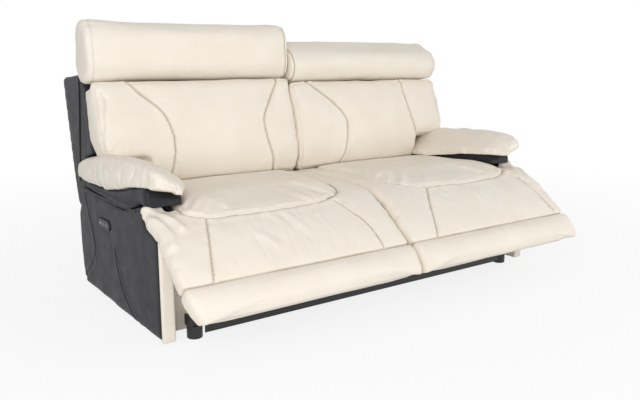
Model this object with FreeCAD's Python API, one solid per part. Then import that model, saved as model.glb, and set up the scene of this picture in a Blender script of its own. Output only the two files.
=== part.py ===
import FreeCAD
import Part
import math
import os

from FreeCAD import Vector

# Two-seat power reclining sofa, millimetres, +X to the sitter's left seen from the front as right,
# +Y to the rear, +Z up. The photographed pose is the rest pose: both leg rests half out, both backs
# upright, one headrest raised and the other lowered.

# Overall layout. Depths are counted from the plane of the arm fronts, then shifted so that the
# origin is on the floor in the middle of the footprint.
footprint_mid = 368.55
half_gap = 6.0
soft_gap = 0.3
run_gap = 0.05

# Arms
arm_outer = 987.5
arm_inner = 832.0
arm_bottom = 12.0
arm_front_top = 388.0
strip_width = 44.0
strip_depth = 18.0
recess_depth = 92.0
recess_thick = 18.0
panel_thick = 36.0
arm_crease = 452.0
arm_apex_y = 799.0
arm_apex_z = 470.0
arm_rear_y = 890.0
arm_board = 18.0
core_hole = 170.0

# Arm pillow
pad_inner = 690.0
pad_outer = 981.0
pad_front = 22.0
pad_rear = 776.0
pad_top = 658.0
pad_bottom = 497.0
pad_round = 44.0

# Switch in the outer side of each arm
switch_y = 555.0
switch_z = 350.0
switch_length = 127.0
switch_height = 39.0
switch_proud = 3.0
switch_deep = 8.0
rocker_length = 30.0
rocker_height = 17.0
rocker_thick = 6.5
rocker_pitch = 42.0
rocker_gap = 1.2
rocker_pin_r = 1.5
rocker_pin_reach = 2.0

# Base
foot_x = arm_outer - 137.5
foot_front_y = 31.0
foot_rear_y = 806.0
foot_r = 29.5
foot_height = 50.0
foot_plate = 87.5
rail_height = 40.0
rail_depth = 44.0
rail_skirt = 34.0
rail_wall = 3.0
tab_length = 84.0
tab_width = 26.0

# Seat unit
plate_thick = 5.0
plate_inner_x = 70.0
plate_outer_x = 760.0
deck_bottom = 382.0
deck_thick = 15.0
deck_rear = 640.0
deck_strip = 60.0
seat_top = 482.0
seat_front = -6.0
seat_rear = 645.0
seat_outer = 826.0
seat_round = 34.0

# Leg rest, hinged at the front top corner of the seat unit
leg_hinge_y = -10.0
leg_hinge_z = 368.0
leg_rest_angle = 49.8
leg_outer = 1008.0
leg_board_thick = 16.0
leg_board_start = 18.0
leg_board_end = 344.0
leg_pad_thick = 76.0
leg_pad_end = 216.0
leg_roll_end = 357.0
leg_roll_thick = 84.0
lug_r = 14.0
hinge_pin_r = 6.0

# Leg rest linkage: crank and leg bracket make a parallelogram with the push link
drive_y = 260.0
drive_z = 250.0
drive_tube_r = 14.0
drive_tube_wall = 2.5
bar_thick = 4.0
bar_gap = 1.0
link_drop = 90.0
link_back = 28.0
link_r = 14.0
link_pin_r = 5.0
link_pin_gap = 0.4
drive_arm = 50.0
drive_mid_angle = 42.9
drive_pin_r = 6.0
drive_slot_gap = 2.3

# Linear drives
leg_motor_x = 700.0
leg_motor_front = 342.0
leg_motor_length = 210.0
back_motor_x = 135.0
back_motor_rear = 670.0
back_motor_length = 190.0
tube_r = 16.0
rod_r = 8.0
rod_inside = 128.0
gearbox_long = 52.0
gearbox_half = 27.0
can_r = 23.0
can_length = 92.0
yoke_thick = 6.0
yoke_wall = 9.0
crank_thick = 6.0

# Back
pivot_y = 720.0
pivot_z = 300.0
pivot_tube_r = 12.0
pivot_lug_r = 24.0
lever_arm = 90.0
lever_lead = 12.5
lean = 0.176
board_bottom = 440.0
board_top = 880.0
board_foot_y = 680.0
board_thick = 15.0
board_hole = 165.0
upright_width = 40.0
back_outer = 958.0
wing_inner = 690.0
wing_bottom = 634.0
shell_outer = 965.0
shell_cheek = 26.0
shell_wall = 22.0
shell_top = 950.0
shell_rear_top = 1050.0
shell_front_top = 826.0
shell_brow = 893.0
shell_bottom = 356.0

# Headrest, turned about a rod in its lower half
head_pivot_y = 705.0
head_pivot_z = 1000.0
head_core_y = 30.0
head_low_r = 80.0
head_high_r = 72.0
head_high = 90.0
head_rod_r = 8.0
head_inner = 5.0
head_outer = 962.0
head_slot = 14.0
head_swing = 55.0
head_round = 40.0

# Power supply on the rear rail
supply_length = 130.0
supply_depth = 62.0
supply_height = 44.0

out_dir = "parts"
os.makedirs(out_dir, exist_ok=True)


def unit(a, b):
    size = math.hypot(b[0] - a[0], b[1] - a[1])
    return ((b[0] - a[0]) / size, (b[1] - a[1]) / size, size)


def rounded_corner(before, corner, after, radius):
    """Start, middle and end of the arc that rounds a corner, limited by the edges beside it."""
    ux, uy, ulen = unit(corner, before)
    vx, vy, vlen = unit(corner, after)
    turn = math.acos(max(-1.0, min(1.0, ux * vx + uy * vy)))
    reach = min(radius / math.tan(turn / 2), 0.49 * ulen, 0.49 * vlen)
    r = reach * math.tan(turn / 2)
    bx, by = ux + vx, uy + vy
    bl = math.hypot(bx, by)
    mid = r / math.sin(turn / 2) - r
    start = (corner[0] + ux * reach, corner[1] + uy * reach)
    end = (corner[0] + vx * reach, corner[1] + vy * reach)
    middle = (corner[0] + bx / bl * mid, corner[1] + by / bl * mid)
    return start, middle, end


def outline(points, place):
    """Closed face through points (a, b, corner radius); place turns (a, b) into a Vector."""
    count = len(points)
    edges = []
    arcs = []
    for i, point in enumerate(points):
        before = points[i - 1][:2]
        after = points[(i + 1) % count][:2]
        radius = point[2] if len(point) > 2 else 0.0
        if radius > 0:
            arcs.append(rounded_corner(before, point[:2], after, radius))
        else:
            arcs.append((point[:2], None, point[:2]))
    for i, (start, middle, end) in enumerate(arcs):
        if middle is not None:
            edges.append(Part.Arc(place(*start), place(*middle), place(*end)).toShape())
        following = arcs[(i + 1) % count][0]
        if math.hypot(following[0] - end[0], following[1] - end[1]) > 1e-6:
            edges.append(Part.LineSegment(place(*end), place(*following)).toShape())
    return Part.Face(Part.Wire(edges))


def side_prism(points, x0, x1):
    """Side profile in (y, z) carried across from x0 to x1."""
    face = outline(points, lambda y, z: Vector(x0, y, z))
    return face.extrude(Vector(x1 - x0, 0, 0))


def plan_prism(points, z0, z1):
    """Plan profile in (x, y) carried up from z0 to z1."""
    face = outline(points, lambda x, y: Vector(x, y, z0))
    return face.extrude(Vector(0, 0, z1 - z0))


def front_prism(points, y0, y1):
    """Front profile in (x, z) carried back from y0 to y1."""
    face = outline(points, lambda x, z: Vector(x, y0, z))
    return face.extrude(Vector(0, y1 - y0, 0))


def box(x0, x1, y0, y1, z0, z1):
    return Part.makeBox(x1 - x0, y1 - y0, z1 - z0, Vector(x0, y0, z0))


def rod_x(r, x0, x1, y, z):
    return Part.makeCylinder(r, x1 - x0, Vector(x0, y, z), Vector(1, 0, 0))


def rod_y(r, y0, y1, x, z):
    return Part.makeCylinder(r, y1 - y0, Vector(x, y0, z), Vector(0, 1, 0))


def bar_x(x0, x1, ends, r):
    """Flat bar with round ends between two points (y, z)."""
    (ya, za), (yb, zb) = ends
    ux, uy, size = unit((ya, za), (yb, zb))
    nx, ny = -uy * r, ux * r
    web = side_prism([(ya + nx, za + ny), (yb + nx, zb + ny), (yb - nx, zb - ny), (ya - nx, za - ny)], x0, x1)
    return web.fuse([rod_x(r, x0, x1, ya, za), rod_x(r, x0, x1, yb, zb)]).removeSplitter()


def soften_ends(shape, radius, *planes):
    """Rounds the edges of the end faces that lie in the planes x = each value."""
    edges = []
    for edge in shape.Edges:
        bb = edge.BoundBox
        for plane in planes:
            if abs(bb.XMin - plane) < 1e-4 and abs(bb.XMax - plane) < 1e-4:
                edges.append(edge)
    return shape.makeFillet(radius, edges)


def mirrored(shape):
    return shape.mirror(Vector(0, 0, 0), Vector(1, 0, 0))


def turned(shape, y, z, degrees):
    """Turns about the X line through (y, z); positive moves the top to the rear."""
    copy = shape.copy()
    copy.rotate(Vector(0, y, z), Vector(-1, 0, 0), degrees)
    return copy


def joined(shapes):
    return shapes[0].fuse(shapes[1:]).removeSplitter()


nodes = {}


def add(name, shape):
    nodes[name] = shape


def add_pair(name, shape):
    """The same piece on the right and, mirrored, on the left."""
    add(name + "_right", shape)
    add(name + "_left", mirrored(shape))


# Base rails and feet
rail_bottom = foot_height
rail_top = rail_bottom + rail_height
front_rail_y0 = foot_front_y - rail_depth / 2
front_rail_y1 = foot_front_y + rail_depth / 2
rear_rail_y0 = foot_rear_y - rail_depth / 2
rear_rail_y1 = foot_rear_y + rail_depth / 2
rail_end = foot_x + foot_r
skirt_end = foot_x - foot_r - 3.0


def channel(y0, y1, end):
    """Pressed channel, open below, across the whole width."""
    outer = box(-end, end, y0, y1, rail_bottom, rail_top)
    inner = box(-end + 30.0, end - 30.0, y0 + rail_wall, y1 - rail_wall, rail_bottom - 1, rail_top - rail_wall)
    return outer.cut(inner)


front_rail = channel(front_rail_y0, front_rail_y1, rail_end)
skirt = box(-skirt_end, skirt_end, front_rail_y0, front_rail_y0 + rail_wall,
            rail_bottom - rail_skirt, rail_bottom + rail_wall)
tabs = []
for side in (-1, 1):
    x_out = arm_inner - soft_gap
    tabs.append(box(min(side * x_out, side * (x_out - tab_width)), max(side * x_out, side * (x_out - tab_width)),
                    front_rail_y1 - rail_wall, front_rail_y1 + tab_length, rail_bottom, rail_top))
add("base_rail_front", joined([front_rail, skirt] + tabs))
add("base_rail_rear", channel(rear_rail_y0, rear_rail_y1, arm_inner - soft_gap).fuse(
    [box(rail_end - foot_plate, rail_end, rear_rail_y0, rear_rail_y1, rail_bottom, rail_bottom + 8),
     box(-rail_end, foot_plate - rail_end, rear_rail_y0, rear_rail_y1, rail_bottom, rail_bottom + 8)]).removeSplitter())


def foot(x, y):
    body = Part.makeCylinder(foot_r, foot_height, Vector(x, y, 0))
    rim = [e for e in body.Edges if e.BoundBox.ZMax < 1e-6 and e.BoundBox.ZMin > -1e-6]
    return body.makeChamfer(2.5, rim)


add("feet", Part.Compound([foot(x, y) for x in (foot_x, -foot_x) for y in (foot_front_y, foot_rear_y)]))

supply = box(-supply_length / 2, supply_length / 2, rear_rail_y0 - soft_gap - supply_depth, rear_rail_y0 - soft_gap,
             rail_bottom, rail_bottom + supply_height)
add("power_supply", supply.makeFillet(4.0, [e for e in supply.Edges if abs(e.BoundBox.ZLength) > 1]))

# Arms: inner plywood box, dark outer panel, cream front, dark top band and pillow
panel_profile = [
    (strip_depth, arm_bottom, 0), (strip_depth, arm_front_top, 6), (35, 399, 20), (108, 417, 16), (136, 438, 14),
    (124, 472, 16), (152, 494, 24), (302, arm_crease, 60), (365, arm_crease - 5, 60), (589, arm_crease + 6, 90),
    (arm_apex_y, arm_apex_z, 14), (arm_rear_y, 342, 40), (arm_rear_y - 14, 102, 60), (845, 28, 24),
    (120, arm_bottom, 0),
]
band_profile = [
    (112, 424, 10), (96, 462, 30), (102, 508, 26), (150, 545, 30), (270, 542, 60), (500, pad_bottom + 12, 90),
    (700, pad_bottom + 10, 40), (pad_rear - 4, pad_bottom + 6, 10), (pad_rear + 12, arm_apex_z + 6, 10),
    (589, arm_crease + 14, 60), (365, arm_crease + 4, 60), (302, arm_crease + 8, 60), (160, 500, 10),
]
panel = side_prism(panel_profile, arm_outer - panel_thick, arm_outer)

switch_pocket = box(arm_outer - switch_deep - 1.5, arm_outer + 1, switch_y - switch_length / 2 - soft_gap,
                    switch_y + switch_length / 2 + soft_gap, switch_z - switch_height / 2 - soft_gap,
                    switch_z + switch_height / 2 + soft_gap)
upright_edges = [e for e in switch_pocket.Edges if abs(e.BoundBox.XLength) > 1]
panel = panel.cut(switch_pocket.makeFillet(switch_height / 2 - 0.5, upright_edges))
add_pair("arm_panel", panel.removeSplitter())

front_plan = [
    (arm_outer, 0, 14), (arm_outer, strip_depth - soft_gap, 0), (arm_outer - strip_width, strip_depth - soft_gap, 0),
    (arm_outer - strip_width, recess_depth, 0),
    (arm_outer - panel_thick - soft_gap, recess_depth, 0),
    (arm_outer - panel_thick - soft_gap, recess_depth + recess_thick, 0),
    (arm_inner, recess_depth + recess_thick, 0), (arm_inner, recess_depth, 10),
    (arm_outer - strip_width - 8.0, recess_depth, 0), (arm_outer - strip_width - 8.0, 0, 8),
]
add_pair("arm_front", plan_prism(front_plan, arm_bottom, arm_front_top))

core_front = recess_depth + recess_thick + soft_gap
core_top = arm_crease - 14.0
core_rear = arm_rear_y - 62.0
core_bottom = arm_bottom + 12.0
core_out = arm_outer - panel_thick - soft_gap
core_profile = [(core_front, core_bottom), (core_front, arm_front_top + 22), (core_front + 70, core_top),
                (core_rear - 40, core_top), (core_rear, 330), (core_rear, core_bottom + 20)]
core = side_prism(core_profile, arm_inner, core_out)
hollow = side_prism([(core_front + 30, core_bottom - 5), (core_front + 30, arm_front_top),
                     (core_front + 80, core_top - 22), (core_rear - 60, core_top - 22), (core_rear - 30, 320),
                     (core_rear - 30, core_bottom - 5)], arm_inner + arm_board, core_out - arm_board)
core = core.cut(hollow)
hole_pitch = (core_rear - core_front - 60) / 3.0
for i in range(3):
    mid_y = core_front + 30 + hole_pitch * (i + 0.5)
    cut = box(arm_inner - 1, core_out + 1, mid_y - core_hole / 2, mid_y + core_hole / 2, 150, 150 + core_hole)
    core = core.cut(cut.makeFillet(20.0, [e for e in cut.Edges if abs(e.BoundBox.XLength) > 1]))
core = core.cut(box(arm_inner - 1, rail_end + 3, rear_rail_y0 - 10, rear_rail_y1 + 12, 0, rail_top + soft_gap))
add_pair("arm_core", core)

band = soften_ends(side_prism(band_profile, pad_inner + 26, arm_outer - 6), 4.0, arm_outer - 6)
under = box(pad_inner, arm_inner + 4, 0, 900, 380, seat_top + 3.6)
beside = side_prism(panel_profile, arm_outer - panel_thick - soft_gap, arm_outer + 1)
behind = box(pad_inner - 60, arm_inner + 6, board_foot_y - 8, arm_rear_y + 110, 300, 800)
band = band.cut([under, beside, behind])

pad_profile = [
    (pad_front, 540, 30), (pad_front + 18, 600, 40), (110, pad_top - 12, 90), (210, pad_top, 120),
    (330, pad_top - 3, 200), (560, pad_top - 34, 200), (700, 600, 60), (pad_rear - 8, 566, 26),
    (pad_rear, pad_bottom + 10, 12), (700, pad_bottom, 60), (500, pad_bottom + 2, 120), (270, 530, 120),
    (120, 537, 60), (60, 528, 20),
]
pad_plan = [
    (pad_inner + 52, pad_front - 40, 150), (pad_inner + 12, 180, 200), (pad_inner, 460, 200),
    (pad_inner + 4, pad_rear + 20, 30), (pad_outer, pad_rear + 20, 30), (pad_outer, 300, 200),
    (pad_outer - 14, pad_front - 40, 90),
]
pad_body = side_prism(pad_profile, pad_inner - 30, pad_outer + 30)
pad_cut = plan_prism(pad_plan, pad_bottom - 60, pad_top + 60)
back_relief = box(pad_inner - 60, arm_inner + 6, board_foot_y - 8, arm_rear_y + 110, 300, 800)
pad = pad_body.common(pad_cut).cut(back_relief).removeSplitter()
add_pair("arm_pad", pad)
pad_seat = pad_body.common(side_prism([(0, 300, 0), (0, 800, 0), (1000, 800, 0), (1000, 300, 0)],
                                      pad_inner - 20, arm_outer))
pad_seat.translate(Vector(0, 0, -soft_gap))
add_pair("arm_band", band.cut(pad_seat))

# Switch: oval bezel with two rockers on pins
bezel_x0 = arm_outer - switch_deep
bezel_x1 = arm_outer + switch_proud
bezel = box(bezel_x0, bezel_x1, switch_y - switch_length / 2, switch_y + switch_length / 2,
            switch_z - switch_height / 2, switch_z + switch_height / 2)
bezel = bezel.makeFillet(switch_height / 2 - 0.8, [e for e in bezel.Edges if abs(e.BoundBox.XLength) > 1])
rocker_x = bezel_x1 - 1.5
rockers = []
for index in (0, 1):
    mid_y = switch_y - 30.0 + rocker_pitch * index
    window = box(bezel_x0 - 1, bezel_x1 + 1, mid_y - rocker_length / 2 - rocker_gap, mid_y + rocker_length / 2 + rocker_gap,
                 switch_z - rocker_height / 2 - rocker_gap, switch_z + rocker_height / 2 + rocker_gap)
    bezel = bezel.cut(window)
    pin_half = rocker_length / 2 + rocker_gap + rocker_pin_reach
    bezel = bezel.cut(rod_y(rocker_pin_r + run_gap, mid_y - pin_half - 0.2, mid_y + pin_half + 0.2,
                            rocker_x - 2.5, switch_z))
    cap = side_prism([(mid_y - rocker_length / 2, switch_z - rocker_height / 2, 3),
                      (mid_y - rocker_length / 2, switch_z + rocker_height / 2, 3),
                      (mid_y + rocker_length / 2, switch_z + rocker_height / 2, 3),
                      (mid_y + rocker_length / 2, switch_z - rocker_height / 2, 3)],
                     rocker_x - rocker_thick + 1.5, rocker_x + 1.5)
    pin = rod_y(rocker_pin_r, mid_y - pin_half, mid_y + pin_half, rocker_x - 2.5, switch_z)
    rockers.append(joined([cap, pin]))
socket_y = switch_y + switch_length / 2 - 24.0
socket = Part.makeCylinder(6.0, 4.0, Vector(bezel_x1 - 3.0, socket_y, switch_z), Vector(1, 0, 0))
bezel = bezel.cut(socket)
add_pair("switch_bezel", bezel)
add_pair("rocker_legs", rockers[0])
add_pair("rocker_head", rockers[1])

# Seat unit: two pressed side plates, deck and cushion
leg_pins = []
plate_profile = [
    (leg_hinge_y + 4, deck_bottom, 10), (deck_rear, deck_bottom, 30), (pivot_y + 26, pivot_z + 26, 30),
    (pivot_y + 26, pivot_z - 40, 20), (rear_rail_y0 + 12, 160, 20), (rear_rail_y1, 140, 10),
    (rear_rail_y1, rail_top, 0), (rear_rail_y0 - 30, rail_top, 10), (pivot_y - 40, 195, 40),
    (drive_y - 80, 195, 40), (front_rail_y1 + 50, rail_top, 10), (front_rail_y0, rail_top, 0),
    (front_rail_y0, 250, 60), (leg_hinge_y + 24, leg_hinge_z - 30, 20),
]
cut_outs = [(70, 230, 6), (330, 470, 6), (500, 640, 6)]


def side_plate(x0):
    plate = side_prism(plate_profile, x0, x0 + plate_thick)
    plate = plate.fuse(rod_x(lug_r, x0, x0 + plate_thick, leg_hinge_y, leg_hinge_z)).removeSplitter()
    plate = plate.cut(rod_x(drive_tube_r + run_gap, x0 - 1, x0 + plate_thick + 1, drive_y, drive_z))
    plate = plate.cut(rod_x(pivot_tube_r + run_gap, x0 - 1, x0 + plate_thick + 1, pivot_y, pivot_z))
    for y0, y1, r in cut_outs:
        slot = box(x0 - 1, x0 + plate_thick + 1, y0 + 10, y1 - 10, deck_bottom - 62, deck_bottom - 22)
        plate = plate.cut(slot.makeFillet(18.0, [e for e in slot.Edges if abs(e.BoundBox.XLength) > 1]))
    return plate


plate_in = side_plate(plate_inner_x)
plate_out = side_plate(plate_outer_x)
ear_in = plate_inner_x + plate_thick + bar_gap
ear_out = plate_outer_x - bar_gap - bar_thick
link_in = ear_in + bar_thick + bar_gap
link_out = ear_out - bar_gap - bar_thick
plate_in = plate_in.fuse(rod_x(hinge_pin_r, plate_inner_x + 1, ear_in + bar_thick + 1.0, leg_hinge_y, leg_hinge_z))
plate_out = plate_out.fuse(rod_x(hinge_pin_r, ear_out - 1.0, plate_outer_x + plate_thick - 1, leg_hinge_y, leg_hinge_z))
add_pair("side_plates", Part.Compound([plate_in.removeSplitter(), plate_out.removeSplitter()]))

deck_x0 = plate_inner_x - 6.0
deck_x1 = plate_outer_x + plate_thick + 6.0
deck = box(deck_x0, deck_x1, 4.0, deck_rear, deck_bottom, deck_bottom + deck_thick)
deck_nx = 4
deck_ny = 4
cell_x = (deck_x1 - deck_x0 - deck_strip) / deck_nx
cell_y = (deck_rear - 4.0 - deck_strip) / deck_ny
for ix in range(deck_nx):
    for iy in range(deck_ny):
        x0 = deck_x0 + deck_strip / 2 + cell_x * ix + 16.0
        y0 = 4.0 + deck_strip / 2 + cell_y * iy + 16.0
        deck = deck.cut(box(x0, x0 + cell_x - 32.0, y0, y0 + cell_y - 32.0, deck_bottom - 1,
                            deck_bottom + deck_thick + 1))
add_pair("seat_deck", deck)

cushion_bottom = deck_bottom + deck_thick + soft_gap
seat_profile = [
    (seat_front, cushion_bottom, 6), (seat_front, seat_top - 40, 30), (seat_front + 42, seat_top - 12, 40),
    (180, seat_top + 3, 120), (430, seat_top + 3, 120), (seat_rear - 8, seat_top - 2, 14),
    (seat_rear, seat_top - 30, 20), (seat_rear, cushion_bottom, 10),
]
seat_cushion = side_prism(seat_profile, half_gap, seat_outer)

# Front corner of the seat cover, which wraps over the arm's front shoulder
shoulder_rear = 94.0
shoulder_proud = 16.0
shoulder = side_prism([(seat_front, arm_front_top + soft_gap, 4), (seat_front, seat_top - 40, 30),
                       (seat_front + 42, seat_top - 12, 40), (shoulder_rear, seat_top - 1, 6),
                       (shoulder_rear, arm_front_top + soft_gap, 0)],
                      seat_outer - 1, arm_outer + shoulder_proud)
shoulder_seat = side_prism(panel_profile, arm_outer - panel_thick - soft_gap, arm_outer + shoulder_proud + 1)
shoulder_seat.translate(Vector(0, 0, soft_gap))
seat_cushion = joined([seat_cushion, shoulder.cut(shoulder_seat)])
add_pair("seat_cushion", seat_cushion)


# Leg rest, drawn hanging down (d) with its padding outward (t), turned to its rest angle
def leg_point(d, t, angle=leg_rest_angle):
    a = math.radians(angle)
    return (leg_hinge_y - d * math.sin(a) - t * math.cos(a), leg_hinge_z - d * math.cos(a) + t * math.sin(a))


def leg_prism(points, x0, x1):
    return side_prism([leg_point(p[0], p[1]) + tuple(p[2:]) for p in points], x0, x1)


leg_board = leg_prism([(leg_board_start, 0), (leg_board_end, 0), (leg_board_end, leg_board_thick),
                       (leg_board_start, leg_board_thick)], half_gap + 8, leg_outer - 12)
add_pair("leg_board", leg_board)
pad_base = leg_board_thick + soft_gap
leg_pad = leg_prism([(2.5, pad_base, 3), (leg_pad_end, pad_base, 0), (leg_pad_end, leg_pad_thick, 6),
                     (120, leg_pad_thick + 3, 120), (30, leg_pad_thick, 60), (2.5, leg_pad_thick - 22, 22)],
                    half_gap, leg_outer)
add_pair("leg_pad", leg_pad)
leg_roll = leg_prism([(leg_pad_end + soft_gap, pad_base, 0), (leg_board_end + 1, pad_base, 0),
                      (leg_board_end + 1, 2, 3), (leg_roll_end - 3, 2, 6), (leg_roll_end, 42, 24),
                      (leg_roll_end - 26, leg_roll_thick - 18, 60), (leg_pad_end + 44, leg_roll_thick + 2, 60),
                      (leg_pad_end + soft_gap, leg_roll_thick - 6, 8)],
                     half_gap, leg_outer)
add_pair("leg_roll", leg_roll)

ear_profile = [(-4, -12, 4), (30, -12, 4), (link_drop + 8, -link_back - 8, 6), (link_drop + 12, -link_back + 8, 6),
               (link_drop + 60, -soft_gap, 0), (leg_board_start - 1, -soft_gap, 0), (8, 11, 4)]


def leg_ear(x0, foot_x0, foot_x1, pin_x0, pin_x1):
    link_y, link_z = leg_point(link_drop, -link_back)
    ear = leg_prism(ear_profile, x0, x0 + bar_thick)
    ear = ear.fuse([rod_x(lug_r - 1, x0, x0 + bar_thick, leg_hinge_y, leg_hinge_z),
                    rod_x(link_r, x0, x0 + bar_thick, link_y, link_z),
                    leg_prism([(leg_board_start + 6, -3.5 - soft_gap), (link_drop + 58, -3.5 - soft_gap),
                               (link_drop + 58, -soft_gap), (leg_board_start + 6, -soft_gap)], foot_x0, foot_x1),
                    rod_x(link_pin_r, pin_x0, pin_x1, link_y, link_z)])
    ear = ear.removeSplitter()
    return ear.cut(rod_x(hinge_pin_r + run_gap, x0 - 2, x0 + bar_thick + 2, leg_hinge_y, leg_hinge_z))


pin_in = (ear_in + 1, link_in + bar_thick + 2)
pin_out = (link_out - 2, ear_out + bar_thick - 1)
add_pair("leg_brackets", Part.Compound([
    leg_ear(ear_in, ear_in, ear_in + 30, pin_in[0], pin_in[1]),
    leg_ear(ear_out, ear_out + bar_thick - 30, ear_out + bar_thick, pin_out[0], pin_out[1])]))


# Cranked drive tube and push links
def crank_point(angle=leg_rest_angle):
    a = math.radians(angle)
    return (drive_y + link_back * math.cos(a) - link_drop * math.sin(a),
            drive_z - link_back * math.sin(a) - link_drop * math.cos(a))


crank_y, crank_z = crank_point()
tube = rod_x(drive_tube_r, plate_inner_x - 5, plate_outer_x + plate_thick + 5, drive_y, drive_z)
bore = rod_x(drive_tube_r - drive_tube_wall, plate_inner_x - 6, plate_outer_x + plate_thick + 6, drive_y, drive_z)
drive_angle = math.radians(leg_rest_angle - drive_mid_angle)
drive_pin = (drive_y + drive_arm * math.sin(drive_angle), drive_z + drive_arm * math.cos(drive_angle))
drive_arm_x = leg_motor_x - yoke_thick / 2 - 4.0 - crank_thick
pieces = [tube]
for x0 in (ear_in, ear_out):
    pieces.append(bar_x(x0, x0 + bar_thick, ((drive_y, drive_z), (crank_y, crank_z)), link_r))
pieces.append(rod_x(link_pin_r, pin_in[0], pin_in[1], crank_y, crank_z))
pieces.append(rod_x(link_pin_r, pin_out[0], pin_out[1], crank_y, crank_z))
pieces.append(bar_x(drive_arm_x, drive_arm_x + crank_thick, ((drive_y, drive_z), drive_pin), 12.0))
pieces.append(rod_x(drive_pin_r, drive_arm_x + 1, leg_motor_x + yoke_thick / 2 + 5, drive_pin[0], drive_pin[1]))
add_pair("drive_tube", joined(pieces).cut(bore))

link_y, link_z = leg_point(link_drop, -link_back)


def push_link(x0, crank_gap):
    bar = bar_x(x0, x0 + bar_thick, ((crank_y, crank_z), (link_y, link_z)), link_r - 2)
    bar = bar.cut(rod_x(link_pin_r + run_gap, x0 - 1, x0 + bar_thick + 1, crank_y, crank_z))
    return bar.cut(rod_x(link_pin_r + link_pin_gap, x0 - 1, x0 + bar_thick + 1, link_y, link_z))


add_pair("push_links", Part.Compound([push_link(link_in, run_gap), push_link(link_out, run_gap)]))


# Linear drives: gearbox, motor can and screw tube on a side plate, and a rod with a slotted yoke
def drive_body(x, z, y0, y1, gear_y0, gear_y1, flange_x0, flange_x1, can_z, can_y0, can_y1):
    shape = joined([
        rod_y(tube_r, y0, y1, x, z),
        box(x - gearbox_half, x + gearbox_half, gear_y0, gear_y1, min(z, can_z) - gearbox_half,
            max(z, can_z) + gearbox_half),
        box(flange_x0, flange_x1, gear_y0 + 6, gear_y1 - 6, min(z, can_z) - 4, max(z, can_z) + gearbox_half),
        rod_y(can_r, can_y0, can_y1, x, can_z),
    ])
    return shape


leg_rod_z = drive_z + drive_arm * (1 + math.cos(math.radians(drive_mid_angle))) / 2
leg_gear_y = leg_motor_front + leg_motor_length
leg_can_z = leg_rod_z - 52
leg_drive = drive_body(leg_motor_x, leg_rod_z, leg_motor_front, leg_gear_y + 2, leg_gear_y, leg_gear_y + gearbox_long,
                       leg_motor_x + gearbox_half - 2, plate_outer_x - soft_gap, leg_can_z,
                       leg_gear_y - can_length, leg_gear_y + 2)
leg_drive = leg_drive.cut(rod_y(rod_r + run_gap, leg_motor_front - 1, leg_gear_y - 20, leg_motor_x, leg_rod_z))
add_pair("leg_motor", leg_drive)


def yoke(x, y, z, slot_half, slot_high, rod_to):
    half_y = slot_half + yoke_wall
    half_z = slot_high + yoke_wall
    plate = side_prism([(y - half_y, z - half_z, 5), (y - half_y, z + half_z, 5), (y + half_y, z + half_z, 5),
                        (y + half_y, z - half_z, 5)], x - yoke_thick / 2, x + yoke_thick / 2)
    slot = side_prism([(y - slot_half, z - slot_high, slot_half * 0.9), (y - slot_half, z + slot_high, slot_half * 0.9),
                       (y + slot_half, z + slot_high, slot_half * 0.9), (y + slot_half, z - slot_high, slot_half * 0.9)],
                      x - yoke_thick, x + yoke_thick)
    start = y + half_y - 2 if rod_to > y else rod_to
    end = rod_to if rod_to > y else y - half_y + 2
    stem = rod_y(rod_r, start, end, x, z)
    return plate.cut(slot).fuse(stem).removeSplitter()


leg_slot_half = drive_pin_r + drive_slot_gap
leg_slot_high = drive_arm * (1 - math.cos(math.radians(drive_mid_angle))) / 2 + drive_pin_r + 3.0
add_pair("leg_rod", yoke(leg_motor_x, drive_pin[0], leg_rod_z, leg_slot_half, leg_slot_high,
                         leg_motor_front + rod_inside))

lead = math.radians(lever_lead)
lever_y = pivot_y + lever_arm * math.sin(lead)
lever_z = pivot_z - lever_arm * math.cos(lead)
back_rod_z = pivot_z - lever_arm * (1 + math.cos(lead)) / 2
back_gear_y = back_motor_rear - back_motor_length
back_can_z = back_rod_z + 52
back_drive = drive_body(back_motor_x, back_rod_z, back_gear_y - 2, back_motor_rear, back_gear_y - gearbox_long,
                        back_gear_y, plate_inner_x + plate_thick + soft_gap, back_motor_x - gearbox_half + 2,
                        back_can_z, back_gear_y - 2, back_gear_y + can_length)
back_drive = back_drive.cut(rod_y(rod_r + run_gap, back_gear_y + 20, back_motor_rear + 1, back_motor_x, back_rod_z))
add_pair("back_motor", back_drive)
back_slot_half = drive_pin_r + 1.2
back_slot_high = drive_pin_r + 3.5
add_pair("back_rod", yoke(back_motor_x, lever_y, back_rod_z, back_slot_half, back_slot_high,
                          back_motor_rear - rod_inside))

# Back: pivot tube with its lever, steel uprights, plywood board, cushion and outer shell
upright_in = plate_inner_x - bar_gap - plate_thick
upright_out = plate_outer_x + plate_thick + bar_gap
pivot = rod_x(pivot_tube_r, upright_in - 3, upright_out + plate_thick + 3, pivot_y, pivot_z)
lever_x = back_motor_x - yoke_thick / 2 - 4.0 - crank_thick
lever = bar_x(lever_x, lever_x + crank_thick, ((pivot_y, pivot_z), (lever_y, lever_z)), 13.0)
lever_pin = rod_x(drive_pin_r, lever_x + 1, back_motor_x + yoke_thick / 2 + 5, lever_y, lever_z)
add_pair("pivot_tube", joined([pivot, lever, lever_pin]))


def board_y(z, offset=0.0):
    """Depth of the sloping front face of the back board at height z."""
    return board_foot_y + offset + lean * (z - board_bottom)


board_step = board_thick * 1.015
upright_front = board_step + soft_gap
upright_back = upright_front + upright_width


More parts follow.
